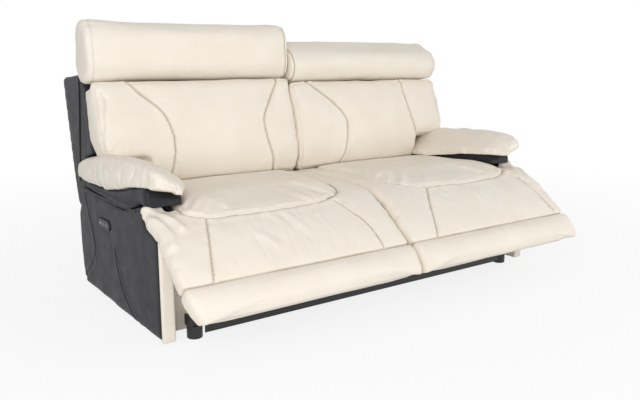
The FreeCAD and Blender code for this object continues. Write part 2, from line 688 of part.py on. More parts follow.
def upright(x0):
    profile = [
        (board_y(board_bottom, upright_front), board_bottom, 20), (board_y(board_top + 8, upright_front), board_top + 8, 20),
        (head_pivot_y - 13, head_pivot_z - 4, 4), (head_pivot_y + 13, head_pivot_z + 6, 4),
        (board_y(900, upright_back - 4), 905, 40), (board_y(board_bottom, upright_back), board_bottom, 60),
        (pivot_y + pivot_lug_r - 1, pivot_z + 4, 4), (pivot_y - pivot_lug_r + 1, pivot_z - 4, 4),
    ]
    plate = side_prism(profile, x0, x0 + plate_thick)
    plate = plate.fuse([rod_x(pivot_lug_r, x0, x0 + plate_thick, pivot_y, pivot_z),
                        rod_x(16.0, x0, x0 + plate_thick, head_pivot_y, head_pivot_z)]).removeSplitter()
    plate = plate.cut(rod_x(pivot_tube_r, x0 - 1, x0 + plate_thick + 1, pivot_y, pivot_z))
    return plate.cut(rod_x(head_rod_r + run_gap, x0 - 1, x0 + plate_thick + 1, head_pivot_y, head_pivot_z))


add_pair("back_uprights", Part.Compound([upright(upright_in), upright(upright_out)]))

back_board = side_prism([(board_y(board_bottom), board_bottom), (board_y(board_top), board_top),
                         (board_y(board_top, board_step), board_top), (board_y(board_bottom, board_step), board_bottom)],
                        half_gap + 6, back_outer - shell_cheek - 2)
back_board = back_board.cut(box(upright_out + 22, back_outer + 40, 500, 900, board_bottom - 10, wing_bottom + 14))
board_cells = 4
cell_w = (upright_out - half_gap - 20) / board_cells
for ix in range(board_cells):
    for iz in range(2):
        x0 = half_gap + 20 + cell_w * ix + (cell_w - board_hole) / 2
        z0 = board_bottom + 30 + iz * (board_hole + 34)
        window = box(x0, x0 + board_hole, 500, 1000, z0, z0 + board_hole)
        back_board = back_board.cut(window.makeFillet(20.0, [e for e in window.Edges if abs(e.BoundBox.YLength) > 100]))
add_pair("back_board", back_board)

cushion_foot = seat_top + 4.5
back_profile = [
    (584, cushion_foot, 16), (552, 548, 60), (553, 612, 90), (566, 690, 120), (597, 796, 160), (640, 884, 30),
    (666, 909, 14), (692, 894, 30), (board_y(888, -soft_gap), 888, 4),
    (board_y(cushion_foot, -soft_gap), cushion_foot, 4),
]
cushion = side_prism(back_profile, half_gap, back_outer)
notch = side_prism([(500, 300, 0), (500, wing_bottom + 8, 0), (800, wing_bottom - 12, 0), (800, 300, 0)],
                   wing_inner, back_outer + 50)
cushion = cushion.cut(notch)
slot_in = box(upright_in - 4, upright_in + plate_thick + 4, 600, 900, 860, 1000)
slot_out = box(upright_out - 4, upright_out + plate_thick + 4, 600, 900, 860, 1000)
lean_guard = side_prism([(690, 1010, 0), (board_y(860, -2), 860, 0), (820, 860, 0), (820, 1010, 0)],
                        half_gap - 5, back_outer + 20)
cushion = cushion.cut([slot_in.common(lean_guard), slot_out.common(lean_guard)])
add_pair("back_cushion", cushion)

shell_profile = [
    (board_y(wing_bottom - 12), wing_bottom - 12, 4), (board_y(shell_brow), shell_brow, 0),
    (shell_front_top, shell_top, 16),
    (shell_rear_top, shell_top - 16, 24), (1000, 654, 300), (946, shell_bottom + 12, 16), (906, shell_bottom, 10),
    (arm_apex_y + 18, arm_apex_z + 16, 20), (arm_apex_y + 4, 596, 20),
]
shell = side_prism(shell_profile, half_gap + 2, shell_outer)
cavity = side_prism([
    (500, board_bottom - 60, 0), (500, 960, 0), (board_y(shell_brow, 6), shell_brow + 3, 0), (board_y(890, upright_back + 4), 890, 0),
    (board_y(board_bottom, upright_back + 4), board_bottom, 0), (board_y(board_bottom, upright_back + 4), 380, 0)],
    half_gap, shell_outer - shell_cheek)
shell_void = side_prism([
    (board_y(wing_bottom, 2) - 20, wing_bottom - 8, 0), (826, 606, 0), (838, 492, 0), (916, shell_bottom + 26, 0),
    (928, shell_bottom + 26, 0), (976, 654, 0), (shell_rear_top - 26, shell_top - 40, 0),
    (shell_front_top + 8, shell_top - 24, 0), (800, 890, 0), (700, 890, 0)], half_gap + 2 + shell_wall, shell_outer - shell_cheek)
shell = shell.cut([cavity, shell_void])
for x0 in (upright_in, upright_out):
    shell = shell.cut(box(x0 - 4, x0 + plate_thick + 4, 600, board_y(900, upright_back + 6), 840, 1000))
add_pair("back_shell", shell)

# Headrest: a soft bar on a rod held by the two uprights; drawn raised
head_rod = rod_x(head_rod_r, upright_in - 6, upright_out + plate_thick + 6, head_pivot_y, head_pivot_z)
low_y = head_pivot_y + head_core_y
low_z = head_pivot_z
high_z = head_pivot_z + head_high
head_solid = joined([
    rod_x(head_low_r, head_inner, head_outer, low_y, low_z),
    rod_x(head_high_r, head_inner, head_outer, low_y, high_z),
    side_prism([(low_y - head_low_r, low_z), (low_y - head_high_r, high_z), (low_y + head_high_r, high_z),
                (low_y + head_low_r, low_z)], head_inner, head_outer),
])
for x0 in (upright_in, upright_out):
    mid = x0 + plate_thick / 2
    head_solid = head_solid.cut(box(mid - head_slot / 2, mid + head_slot / 2, head_pivot_y - 22,
                                    low_y + head_low_r + 10, low_z - head_low_r - 10, low_z + 48))
head_solid = head_solid.cut(rod_x(head_rod_r + soft_gap, upright_in - 6 - soft_gap,
                                  upright_out + plate_thick + 6 + soft_gap, head_pivot_y, head_pivot_z))
add("head_roll_left", mirrored(head_solid))
add("head_rod_left", mirrored(head_rod))
add("head_roll_right", turned(head_solid, head_pivot_y, head_pivot_z, head_swing))
add("head_rod_right", head_rod)

shift = Vector(0, -footprint_mid, 0)
low = Vector(1e9, 1e9, 1e9)
high = Vector(-1e9, -1e9, -1e9)
for name, shape in nodes.items():
    placed = shape.copy()
    placed.translate(shift)
    bb = placed.BoundBox
    low = Vector(min(low.x, bb.XMin), min(low.y, bb.YMin), min(low.z, bb.ZMin))
    high = Vector(max(high.x, bb.XMax), max(high.y, bb.YMax), max(high.z, bb.ZMax))
    if not placed.isValid() or placed.Volume <= 0:
        print("invalid", name)
    placed.exportStep(os.path.join(out_dir, name + ".step"))
print(len(nodes), "nodes", "low", low, "high", high, "mid y", (low.y + high.y) / 2)
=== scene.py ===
import math

import bmesh
import bpy
import numpy as np
from bpy.props import FloatProperty, FloatVectorProperty, PointerProperty
from mathutils import Euler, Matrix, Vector, noise
from mathutils.bvhtree import BVHTree


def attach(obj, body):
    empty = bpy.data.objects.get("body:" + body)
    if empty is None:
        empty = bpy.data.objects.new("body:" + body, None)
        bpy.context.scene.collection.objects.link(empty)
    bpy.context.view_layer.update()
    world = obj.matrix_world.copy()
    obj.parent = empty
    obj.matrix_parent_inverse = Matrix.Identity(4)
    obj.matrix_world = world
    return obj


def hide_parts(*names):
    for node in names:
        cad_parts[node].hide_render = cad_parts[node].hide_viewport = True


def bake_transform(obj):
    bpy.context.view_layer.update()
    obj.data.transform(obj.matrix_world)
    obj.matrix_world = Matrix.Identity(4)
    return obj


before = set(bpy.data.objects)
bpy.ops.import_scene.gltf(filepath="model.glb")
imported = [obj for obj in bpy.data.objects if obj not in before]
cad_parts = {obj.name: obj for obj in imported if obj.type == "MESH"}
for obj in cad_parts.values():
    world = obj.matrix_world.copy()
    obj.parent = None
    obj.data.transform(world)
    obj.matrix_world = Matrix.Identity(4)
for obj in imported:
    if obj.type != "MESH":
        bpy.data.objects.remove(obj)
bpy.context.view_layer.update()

bl_info = {
    "name": "Reclining Sofa",
    "version": (1, 0, 0),
    "blender": (4, 5, 0),
    "location": "View3D > Sidebar > Sofa",
    "description": "Two-seat power reclining sofa in cream and charcoal leather",
    "category": "Object",
}

# Depths below are counted in metres from the plane of the arm fronts, which is this far
# in front of the middle of the footprint.
ARM_PLANE = 0.36855
SIDES = {"left": -1.0, "right": 1.0}

# The footrest turns on a line at this depth and height, and its board leans this far from
# upright as it stands. Its cover ends and its front roll begins this far down the board.
FOOT_HINGE = (-0.010, 0.368)
FOOT_LEAN = math.radians(49.8)
ROLL_START = 0.2165

# Top of the seat cover from the footrest seam back to the crease, as depth and height.
SEAT_LINE = (
    (-0.226, 0.289), (-0.152, 0.345), (-0.100, 0.391), (-0.056, 0.428), (0.0, 0.452),
    (0.043, 0.468), (0.100, 0.476), (0.180, 0.482), (0.430, 0.482), (0.650, 0.478),
)


def at(x, y, z):
    """A point of the frame from a width, a depth behind the arm fronts and a height."""
    return Vector((x, y - ARM_PLANE, z))


def seat_height(y):
    """Height of the seat cover's top at depths behind the arm fronts."""
    line = np.array(SEAT_LINE)
    return np.interp(y, line[:, 0], line[:, 1])


# Colours and materials


def linear(colour):
    """Turns an sRGB hex colour into the linear values that a shader takes."""
    parts = [int(colour[i:i + 2], 16) / 255 for i in (1, 3, 5)]
    return [c / 12.92 if c <= 0.04045 else ((c + 0.055) / 1.055) ** 2.4 for c in parts]


def node(material, kind, inputs=None, **settings):
    """Adds one node with its settings, and fills or links its sockets."""
    made = material.node_tree.nodes.new(kind)
    for setting, value in settings.items():
        setattr(made, setting, value)
    for socket, value in (inputs or {}).items():
        if isinstance(value, bpy.types.NodeSocket):
            material.node_tree.links.new(value, made.inputs[socket])
        else:
            made.inputs[socket].default_value = value
    return made


def blank(name):
    """A new material and its shader."""
    material = bpy.data.materials.new(name)
    material.use_nodes = True
    return material, material.node_tree.nodes["Principled BSDF"]


def wire(material, socket, target):
    """Links a socket to one of the shader or of the output."""
    material.node_tree.links.new(socket, target)


def leather(name, colour, shade, seam, roughness, grain, grain_depth, sheen):
    """Hide leather with a pebbled grain, a slow drift of tone and a painted seam colour: painted
    shade with a little dust on the cream, a painted highlight on the charcoal.
    """
    material, shader = blank(name)
    place = node(material, "ShaderNodeTexCoord").outputs["Object"]
    # Hides take dye unevenly over a hand's breadth, about 140 mm.
    drift = node(material, "ShaderNodeTexNoise",
                 {"Vector": place, "Scale": 1 / 0.14, "Detail": 3.0})
    blend = node(material, "ShaderNodeMapRange",
                 {"Value": drift.outputs["Fac"], "From Min": 0.35, "From Max": 0.75,
                  "To Min": 0.0, "To Max": 1.0})
    tone = node(material, "ShaderNodeMix",
                {0: blend.outputs["Result"], 6: (*colour, 1), 7: (*shade, 1)}, data_type="RGBA")
    # Seams are pulled in; their painted colour stands for the shade in them with a little dust on
    # the cream hide, and is a lighter painted highlight along them on the charcoal hide.
    sewn = node(material, "ShaderNodeAttribute", attribute_name="seam")
    seam_dust_and_painted_light = node(material, "ShaderNodeMix",
                {0: sewn.outputs["Fac"], 6: tone.outputs[2], 7: (*seam, 1)}, data_type="RGBA")
    wire(material, seam_dust_and_painted_light.outputs[2], shader.inputs["Base Color"])
    # Pebbles of the grain, each about grain metres across, with shallow valleys between.
    pebble = node(material, "ShaderNodeTexVoronoi",
                  {"Vector": place, "Scale": 1 / grain, "Randomness": 0.9}, feature="SMOOTH_F1")
    # Fine pulls in the hide, about 9 mm apart.
    pull = node(material, "ShaderNodeTexNoise",
                {"Vector": place, "Scale": 1 / 0.009, "Detail": 4.0, "Roughness": 0.6})
    both = node(material, "ShaderNodeMath",
                {0: pull.outputs["Fac"], 1: 1.4, 2: pebble.outputs["Distance"]},
                operation="MULTIPLY_ADD")
    bump = node(material, "ShaderNodeBump",
                {"Strength": 0.35, "Distance": grain_depth, "Height": both.outputs["Value"]})
    wire(material, bump.outputs["Normal"], shader.inputs["Normal"])
    # Hands and clothes polish it in patches of about 50 mm.
    worn = node(material, "ShaderNodeTexNoise",
                {"Vector": place, "Scale": 1 / 0.05, "Detail": 2.0})
    gloss = node(material, "ShaderNodeMapRange",
                 {"Value": worn.outputs["Fac"], "From Min": 0.3, "From Max": 0.7,
                  "To Min": roughness - 0.04, "To Max": roughness + 0.05})
    wire(material, gloss.outputs["Result"], shader.inputs["Roughness"])
    shader.inputs["IOR"].default_value = 1.48
    shader.inputs["Specular IOR Level"].default_value = sheen
    return material


def coated_metal(name, colour, roughness, fleck, fleck_depth, metallic):
    """Metal under powder coat or zinc: an even colour with a fine ripple."""
    material, shader = blank(name)
    place = node(material, "ShaderNodeTexCoord").outputs["Object"]
    peel = node(material, "ShaderNodeTexNoise",
                {"Vector": place, "Scale": 1 / fleck, "Detail": 3.0})
    bump = node(material, "ShaderNodeBump",
                {"Strength": 0.3, "Distance": fleck_depth, "Height": peel.outputs["Fac"]})
    wire(material, bump.outputs["Normal"], shader.inputs["Normal"])
    # Handling rubs it unevenly over about 30 mm.
    rub = node(material, "ShaderNodeTexNoise",
               {"Vector": place, "Scale": 1 / 0.03, "Detail": 5.0})
    gloss = node(material, "ShaderNodeMapRange",
                 {"Value": rub.outputs["Fac"], "From Min": 0.3, "From Max": 0.7,
                  "To Min": roughness - 0.06, "To Max": roughness + 0.08})
    wire(material, gloss.outputs["Result"], shader.inputs["Roughness"])
    light = [min(1.0, c * 1.25 + 0.004) for c in colour]
    tone = node(material, "ShaderNodeMix",
                {0: rub.outputs["Fac"], 6: (*colour, 1), 7: (*light, 1)}, data_type="RGBA")
    wire(material, tone.outputs[2], shader.inputs["Base Color"])
    shader.inputs["Metallic"].default_value = metallic
    return material


def moulded(name, colour, roughness, grain):
    """Injection-moulded plastic with the grain of its mould."""
    material, shader = blank(name)
    place = node(material, "ShaderNodeTexCoord").outputs["Object"]
    spark = node(material, "ShaderNodeTexNoise",
                 {"Vector": place, "Scale": 1 / grain, "Detail": 2.0})
    bump = node(material, "ShaderNodeBump",
                {"Strength": 0.25, "Distance": 0.0001, "Height": spark.outputs["Fac"]})
    wire(material, bump.outputs["Normal"], shader.inputs["Normal"])
    light = [c * 1.5 + 0.003 for c in colour]
    tone = node(material, "ShaderNodeMix",
                {0: spark.outputs["Fac"], 6: (*colour, 1), 7: (*light, 1)}, data_type="RGBA")
    wire(material, tone.outputs[2], shader.inputs["Base Color"])
    shader.inputs["Roughness"].default_value = roughness
    return material


def plywood(name):
    """Rotary-cut birch plywood: long pale streaks and thin darker rings."""
    material, shader = blank(name)
    place = node(material, "ShaderNodeTexCoord").outputs["Object"]
    along = node(material, "ShaderNodeMapping", {"Vector": place, "Scale": (1.0, 12.0, 12.0)})
    # Figure of the veneer, a ring about every 20 mm across the grain.
    figure = node(material, "ShaderNodeTexNoise",
                  {"Vector": along.outputs["Vector"], "Scale": 4.0, "Detail": 6.0,
                   "Distortion": 0.6})
    tone = node(material, "ShaderNodeMix",
                {0: figure.outputs["Fac"], 6: (*linear("#D9BE93"), 1),
                 7: (*linear("#B8925F"), 1)}, data_type="RGBA")
    wire(material, tone.outputs[2], shader.inputs["Base Color"])
    bump = node(material, "ShaderNodeBump",
                {"Strength": 0.2, "Distance": 0.0003, "Height": figure.outputs["Fac"]})
    wire(material, bump.outputs["Normal"], shader.inputs["Normal"])
    shader.inputs["Roughness"].default_value = 0.62
    return material


def finish_of(slot):
    """The finished material for one of the material slots."""
    names = {
        "cream_leather": "Corrected-grain cream leather",
        "charcoal_leather": "Corrected-grain charcoal leather",
        "plywood": "Birch plywood",
        "black_steel": "Powder-coated steel",
        "zinc_steel": "Zinc-plated steel",
        "black_plastic": "Moulded black nylon",
        "black_gloss": "Polished black ABS",
    }
    ready = bpy.data.materials.get(names[slot])
    if ready:
        return ready
    look = bpy.context.scene.sofa_leather
    if slot == "cream_leather":
        # Sanded, re-embossed and sprayed hide: even colour, soft sheen, small pebbles.
        # The seam colour #9C8E79 is painted shade in the seams, with a little dust.
        return leather(names[slot], look.cream, look.cream_shade, linear("#9C8E79"), 0.46,
                       look.grain, 0.0005, 0.45)
    if slot == "charcoal_leather":
        # The same hide dyed through: it shows its sheen more, as a dark colour does.
        # The seam colour #4A4A50 is a painted highlight along the seams, lighter than the hide.
        return leather(names[slot], look.charcoal, look.charcoal_shade, linear("#4A4A50"), 0.46,
                       look.grain, 0.0006, 0.20)
    if slot == "plywood":
        # Sanded and left raw: pale, dry and without gloss.
        return plywood(names[slot])
    if slot == "black_steel":
        # Baked polyester powder, a satin black with a slight orange-peel ripple.
        return coated_metal(names[slot], linear("#1C1C1E"), 0.42, 0.0012, 0.0002, 0.0)
    if slot == "zinc_steel":
        # Bright zinc, passivated: grey, a little cloudy, and satin.
        return coated_metal(names[slot], linear("#B9BCC0"), 0.34, 0.004, 0.0001, 1.0)
    if slot == "black_plastic":
        # Spark-eroded mould: a fine matt grain that greys the black a little.
        return moulded(names[slot], linear("#18181A"), 0.5, 0.0008)
    # Polished mould: a deep black with clear highlights.
    return moulded(names[slot], linear("#111113"), 0.22, 0.002)


def thread_of():
    """Bonded polyester thread: a shade darker than the hide, with a twist every 2 mm."""
    ready = bpy.data.materials.get("Bonded polyester thread")
    if ready:
        return ready
    material, shader = blank("Bonded polyester thread")
    place = node(material, "ShaderNodeTexCoord").outputs["Object"]
    twist = node(material, "ShaderNodeTexWave", {"Vector": place, "Scale": 1 / 0.002},
                 bands_direction="DIAGONAL")
    tone = node(material, "ShaderNodeMix",
                {0: twist.outputs["Fac"], 6: (*linear("#D8CCB8"), 1),
                 7: (*linear("#C6B9A3"), 1)}, data_type="RGBA")
    wire(material, tone.outputs[2], shader.inputs["Base Color"])
    shader.inputs["Roughness"].default_value = 0.55
    return material


# Soft pieces

# Planes in which seams are drawn, as the axes of a point, and the ways their cloth faces.
FLAT, FACE, FLANK = (0, 1), (0, 2), (1, 2)
UP, FORWARD = (0, 0, 1), (0, -1, 0)
UP_FORWARD = (0, -0.3, 0.7)


def mirrored(line, side):
    """A line of the right half, or its mirror in the left half."""
    return np.array(line) * (side, 1)


def new_piece(name, bm):
    """Puts a bmesh into the scene as an object at the origin."""
    mesh = bpy.data.meshes.new(name)
    bm.to_mesh(mesh)
    bm.free()
    obj = bpy.data.objects.new(name, mesh)
    bpy.context.scene.collection.objects.link(obj)
    return obj


def copies(*nodes):
    """The frame's solids with their loose triangles merged, together in one bmesh."""
    bm = bmesh.new()
    for name in nodes:
        bm.from_mesh(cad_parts[name].data)
    bmesh.ops.remove_doubles(bm, verts=bm.verts, dist=0.00002)
    return bm


def bar(bm, profile, x0, x1):
    """Adds a bar between two widths whose section is a list of depths and heights."""
    corners = [bm.verts.new(at(x0, y, z)) for y, z in profile]
    face = bm.faces.new(corners)
    grown = bmesh.ops.extrude_face_region(bm, geom=[face])
    moved = [e for e in grown["geom"] if isinstance(e, bmesh.types.BMVert)]
    bmesh.ops.translate(bm, verts=moved, vec=(x1 - x0, 0, 0))
    bmesh.ops.recalc_face_normals(bm, faces=bm.faces)


def footrest_depth(co):
    """How far down the footrest each point lies from its hinge, and how far out of its board."""
    y, z = co[:, 1] + ARM_PLANE - FOOT_HINGE[0], co[:, 2] - FOOT_HINGE[1]
    sine, cosine = math.sin(FOOT_LEAN), math.cos(FOOT_LEAN)
    return -y * sine - z * cosine, z * sine - y * cosine


def board_part(bm, side, front):
    """Adds the part of the footrest's board that lies under one of its two covers."""
    board = copies(f"leg_board_{side}")
    down = Vector((0, -math.sin(FOOT_LEAN), -math.cos(FOOT_LEAN)))
    cut = bmesh.ops.bisect_plane(board, geom=[*board.verts, *board.edges, *board.faces],
                                 plane_co=at(0, *FOOT_HINGE) + down * ROLL_START, plane_no=down,
                                 clear_inner=front, clear_outer=not front)
    rim = [e for e in cut["geom_cut"] if isinstance(e, bmesh.types.BMEdge)]
    bmesh.ops.holes_fill(board, edges=rim)
    mesh = bpy.data.meshes.new("board part")
    board.to_mesh(mesh)
    board.free()
    bm.from_mesh(mesh)
    bpy.data.meshes.remove(mesh)


def make_real(obj):
    """Makes the modifiers of an object part of its mesh."""
    bpy.context.view_layer.update()
    graph = bpy.context.evaluated_depsgraph_get()
    mesh = bpy.data.meshes.new_from_object(obj.evaluated_get(graph))
    old = obj.data
    obj.modifiers.clear()
    obj.data = mesh
    bpy.data.meshes.remove(old)
    mesh.name = obj.name
    return obj


def skin(obj, voxel, smooth=4, inset=0.0):
    """One even skin over all that the object holds, with soft edges."""
    remesh = obj.modifiers.new("skin", "REMESH")
    remesh.mode = "VOXEL"
    remesh.voxel_size = voxel
    make_real(obj)
    bm = bmesh.new()
    bm.from_mesh(obj.data)
    for _ in range(smooth):
        bmesh.ops.smooth_vert(bm, verts=bm.verts, factor=0.5, use_axis_x=True, use_axis_y=True,
                              use_axis_z=True)
    bm.to_mesh(obj.data)
    bm.free()
    if inset:
        shift(obj, normals(obj) * -inset)
    return obj


def points(obj):
    """The vertices of an object, one row each."""
    found = np.empty(len(obj.data.vertices) * 3)
    obj.data.vertices.foreach_get("co", found)
    return found.reshape(-1, 3)


def normals(obj):
    """The ways its vertices face."""
    found = np.empty(len(obj.data.vertices) * 3)
    obj.data.vertex_normals.foreach_get("vector", found)
    return found.reshape(-1, 3)


def place(obj, found):
    """Puts its vertices at given points."""
    obj.data.vertices.foreach_set("co", found.ravel())
    obj.data.update()


def shift(obj, offsets):
    """Moves its vertices by given offsets."""
    place(obj, points(obj) + offsets)


def smooth_run(line, steps=10):
    """A smooth line through a few points."""
    p = np.array(line, float)
    p = np.vstack([2 * p[0] - p[1], p, 2 * p[-1] - p[-2]])
    out = []
    for i in range(1, len(p) - 2):
        for t in np.linspace(0, 1, steps, endpoint=False):
            a, b, c, d = p[i - 1], p[i], p[i + 1], p[i + 2]
            out.append(0.5 * (2 * b + (c - a) * t + (2 * a - 5 * b + 4 * c - d) * t ** 2
                              + (3 * b - a - 3 * c + d) * t ** 3))
    out.append(p[-2])
    return np.array(out)


def reach(flat, run):
    """Signed distance of flat points from a run, and how far along it each one lies."""
    best = np.full(len(flat), 1e9)
    side = np.ones(len(flat))
    along = np.zeros(len(flat))
    gone = 0.0
    for a, b in zip(run[:-1], run[1:]):
        d = b - a
        length = math.hypot(*d)
        if length < 1e-9:
            continue
        t = np.clip(((flat - a) @ d) / length ** 2, 0, 1)
        off = flat - (a + t[:, None] * d)
        far = np.hypot(off[:, 0], off[:, 1])
        near = far < best
        best[near] = far[near]
        along[near] = (gone + t * length)[near]
        side[near] = np.sign(d[0] * off[:, 1] - d[1] * off[:, 0])[near]
        gone += length
    return best * side, along


def wave(x, seed):
    """A smooth random wave between -1 and 1."""
    values = np.random.RandomState(seed).uniform(-1, 1, 4096)
    whole = np.floor(x).astype(int)
    part = x - whole
    part = part * part * (3 - 2 * part)
    return values[whole % 4096] * (1 - part) + values[(whole + 1) % 4096] * part


def on_view(obj, plane, facing, least=0.1):
    """The vertices that face a direction, and their places in a plane."""
    seen = normals(obj) @ np.array(facing, float) > least
    co = points(obj)
    co[:, 1] += ARM_PLANE
    return seen, co[:, list(plane)]


def seam_mark(obj, amount):
    """Keeps how sewn-in each point is, for the material, which paints its seam colour there:
    painted shade on the cream hide, a painted highlight on the charcoal.
    """
    mark = obj.data.attributes.get("seam") or obj.data.attributes.new("seam", "FLOAT", "POINT")
    old = np.empty(len(obj.data.vertices), dtype=np.float32)
    mark.data.foreach_get("value", old)
    mark.data.foreach_set("value", np.maximum(old, amount).astype(np.float32))


def sew(obj, line, plane, facing, depth, width, pucker, pitch, seed, least=0.1, where=None,
        mark=1.0):
    """Draws the skin in along a seam, with a rolled edge each side and small puckers. Only the
    cloth that faces the given way takes part, and where and mark say how much."""
    seen, flat = on_view(obj, plane, facing, least)
    if where is not None:
        seen &= where
    d, s = reach(flat, smooth_run(line))
    far = np.abs(d)
    fold = np.where(d > 0, wave(s / pitch, seed), wave(s / pitch + 0.5, seed + 7))
    rise = (0.4 * depth * np.exp(-((far - 2.4 * width) / (1.3 * width)) ** 2)
            - depth * np.exp(-(far / width) ** 2)
            + pucker * fold * np.exp(-((far - 2 * width) / (3.2 * width)) ** 2))
    rise[~seen] = 0
    shift(obj, normals(obj) * rise[:, None])
    # How strongly the seam colour is painted: painted shade on the cream hide, a painted highlight
    # on the charcoal.
    if mark:
        dark = mark * near(far, 0.44 * width)
        dark[~seen] = 0
        seam_mark(obj, dark)


def raise_fold(obj, line, facing, height, width, pucker, seed):
    """Raises a soft fold along a line seen from above, without stitches."""
    sew(obj, line, FLAT, facing, -height, width, pucker, 0.03, seed, 0.0, mark=0.0)


def ring(obj, x, depth, width, pucker, pitch, seed, mark):
    """Draws the skin in along a seam that goes round a roll at one width."""
    co = points(obj)
    d = co[:, 0] - x
    centre = co[np.abs(d) < 0.01].mean(0)
    turn = np.arctan2(co[:, 2] - centre[2], co[:, 1] - centre[1])
    far = np.abs(d)
    count = round(2 * math.pi * 0.1 / pitch)
    fold = wave((turn / (2 * math.pi) + 0.5) * count, seed + (1 if x > 0 else 0))
    rise = (0.4 * depth * near(far - 2.4 * width, 1.3 * width) - depth * near(far, width)
            + pucker * fold * near(far - 2 * width, 3.5 * width))
    shift(obj, normals(obj) * rise[:, None])
    # Painted shade round the ring seam, through the seam colour of the material.
    seam_mark(obj, mark * near(far, 0.5 * width))


def thread(name, obj, rows, body, bend=None, pitch=0.0085, thick=0.0007):
    """Rows of stitches, each lying on the piece beside a seam, as one object."""
    tree = BVHTree.FromPolygons([v.co for v in obj.data.vertices],
                                [p.vertices for p in obj.data.polygons])
    bm = bmesh.new()
    for line, plane, facing, off in rows:
        # Marks at even steps along the seam, moved over to the row's side of it.
        run = smooth_run(line, 24)
        step = np.diff(run, axis=0)
        gone = np.concatenate([[0], np.cumsum(np.hypot(step[:, 0], step[:, 1]))])
        marks = np.arange(pitch, gone[-1] - pitch, pitch)
        flat = np.stack([np.interp(marks, gone, run[:, 0]), np.interp(marks, gone, run[:, 1])], 1)
        along = np.gradient(flat, axis=0)
        along /= np.linalg.norm(along, axis=1)[:, None]
        flat = flat + np.stack([-along[:, 1], along[:, 0]], 1) * off
        # Each mark is carried along the plane's third axis on to the cloth.
        look = Vector(facing).normalized()
        hits = []
        for a, b in flat:
            start = [0.0, 0.0, 0.0]
            start[plane[0]], start[plane[1]] = a, b
            start = Vector(start) + Vector((0, -ARM_PLANE if 1 in plane else 0, 0))
            free = ({0, 1, 2} - set(plane)).pop()
            way = Vector((0, 0, 0))
            way[free] = -1.0 if look[free] > 0 else 1.0
            start -= way * 3.0
            hit, normal, _, _ = tree.ray_cast(start, way)
            hits.append((hit, normal) if hit and normal.dot(look) > 0 else None)
        for one, two in zip(hits[:-1], hits[1:]):
            if not one or not two or (two[0] - one[0]).length > 2.5 * pitch:
                continue
            lie = (two[0] - one[0]).normalized()
            out = (one[1] - lie * one[1].dot(lie)).normalized()
            across = out.cross(lie)
            made = bmesh.ops.create_icosphere(bm, subdivisions=1, radius=1.0)
            middle = one[0] * 0.5 + two[0] * 0.5 + out * 0.0002
            for v in made["verts"]:
                v.co = (middle + across * v.co.x * thick + lie * v.co.y * pitch * 0.40
                        + out * v.co.z * thick)
    sewn = new_piece(name, bm)
    sewn.data.materials.append(thread_of())
    sewn.data.polygons.foreach_set("use_smooth", [True] * len(sewn.data.polygons))
    if bend:
        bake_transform(sewn)
    else:
        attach(sewn, body)
    return sewn


def ripple(obj, size, height, seed, stretch=(1, 1, 1), where=None):
    """Slow unevenness of a filled cover."""
    co = points(obj) / size * np.array(stretch)
    rise = np.array([noise.noise(Vector(p) + Vector((seed * 7.3, 0, 0))) for p in co]) * height
    if where is not None:
        rise *= where
    shift(obj, normals(obj) * rise[:, None])


def held(obj, *masks):
    """Marks the vertices that the cover's seams and boards hold still."""
    group = obj.vertex_groups.new(name="held")
    strength = np.clip(np.max(np.array(masks, float), axis=0), 0, 1)
    levels = np.round(strength * 5) / 5
    for level in np.unique(levels):
        if level > 0:
            group.add([int(i) for i in np.flatnonzero(levels == level)], float(level), "REPLACE")


def puff(pieces, frames=20):
    """Swells covers over their filling. Each piece comes with its pressure, its spare
    cloth and the most that a point may move."""
    scene = bpy.context.scene
    scene.frame_set(1)
    start = {}
    for obj, pressure, spare, _ in pieces:
        cloth = obj.modifiers.new("filling", "CLOTH")
        settings = cloth.settings
        settings.quality = 5
        settings.mass = 0.35
        settings.tension_stiffness = 18
        settings.compression_stiffness = 18
        settings.shear_stiffness = 8
        settings.bending_stiffness = 1.2
        settings.use_pressure = True
        settings.uniform_pressure_force = pressure
        settings.shrink_min = -spare
        settings.effector_weights.gravity = 0
        settings.vertex_group_mass = "held"
        cloth.collision_settings.use_collision = False
        cloth.point_cache.frame_start = 1
        cloth.point_cache.frame_end = frames
        start[obj.name] = points(obj)
    for step in range(1, frames + 1):
        scene.frame_set(step)
    graph = bpy.context.evaluated_depsgraph_get()
    for obj, _, _, cap in pieces:
        mesh = obj.evaluated_get(graph).data
        moved = np.empty(len(mesh.vertices) * 3)
        mesh.vertices.foreach_get("co", moved)
        moved = moved.reshape(-1, 3) - start[obj.name]
        far = np.linalg.norm(moved, axis=1)
        soft = cap * np.tanh(far / cap)
        moved *= (soft / np.maximum(far, 1e-9))[:, None]
        obj.modifiers.clear()
        place(obj, start[obj.name] + moved)
    scene.frame_set(1)


def refine(obj):
    """One finer level of the skin, so that seams and stitching come out sharp."""
    finer = obj.modifiers.new("finer", "SUBSURF")
    finer.levels = 1
    finer.render_levels = 1
    return make_real(obj)


def dress(obj, body, slot, nodes, bend=None):
    """Gives a finished piece its material and smooth shading and hides the solids it stands for; it
    is attached to its body, or, with a bend, has its transform baked in place.
    """
    obj.data.materials.clear()
    obj.data.materials.append(finish_of(slot))
    obj.data.polygons.foreach_set("use_smooth", [True] * len(obj.data.polygons))
    obj.vertex_groups.clear()
    if nodes:
        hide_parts(*nodes)
    if bend:
        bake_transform(obj)
    else:
        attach(obj, body)
    return obj


def near(distance, width):
    """A soft weight, one on a line and nothing a few widths away from it."""
    return np.exp(-(distance / width) ** 2)


# Seams of the cover, as widths and depths for the seat and widths and heights for the back.

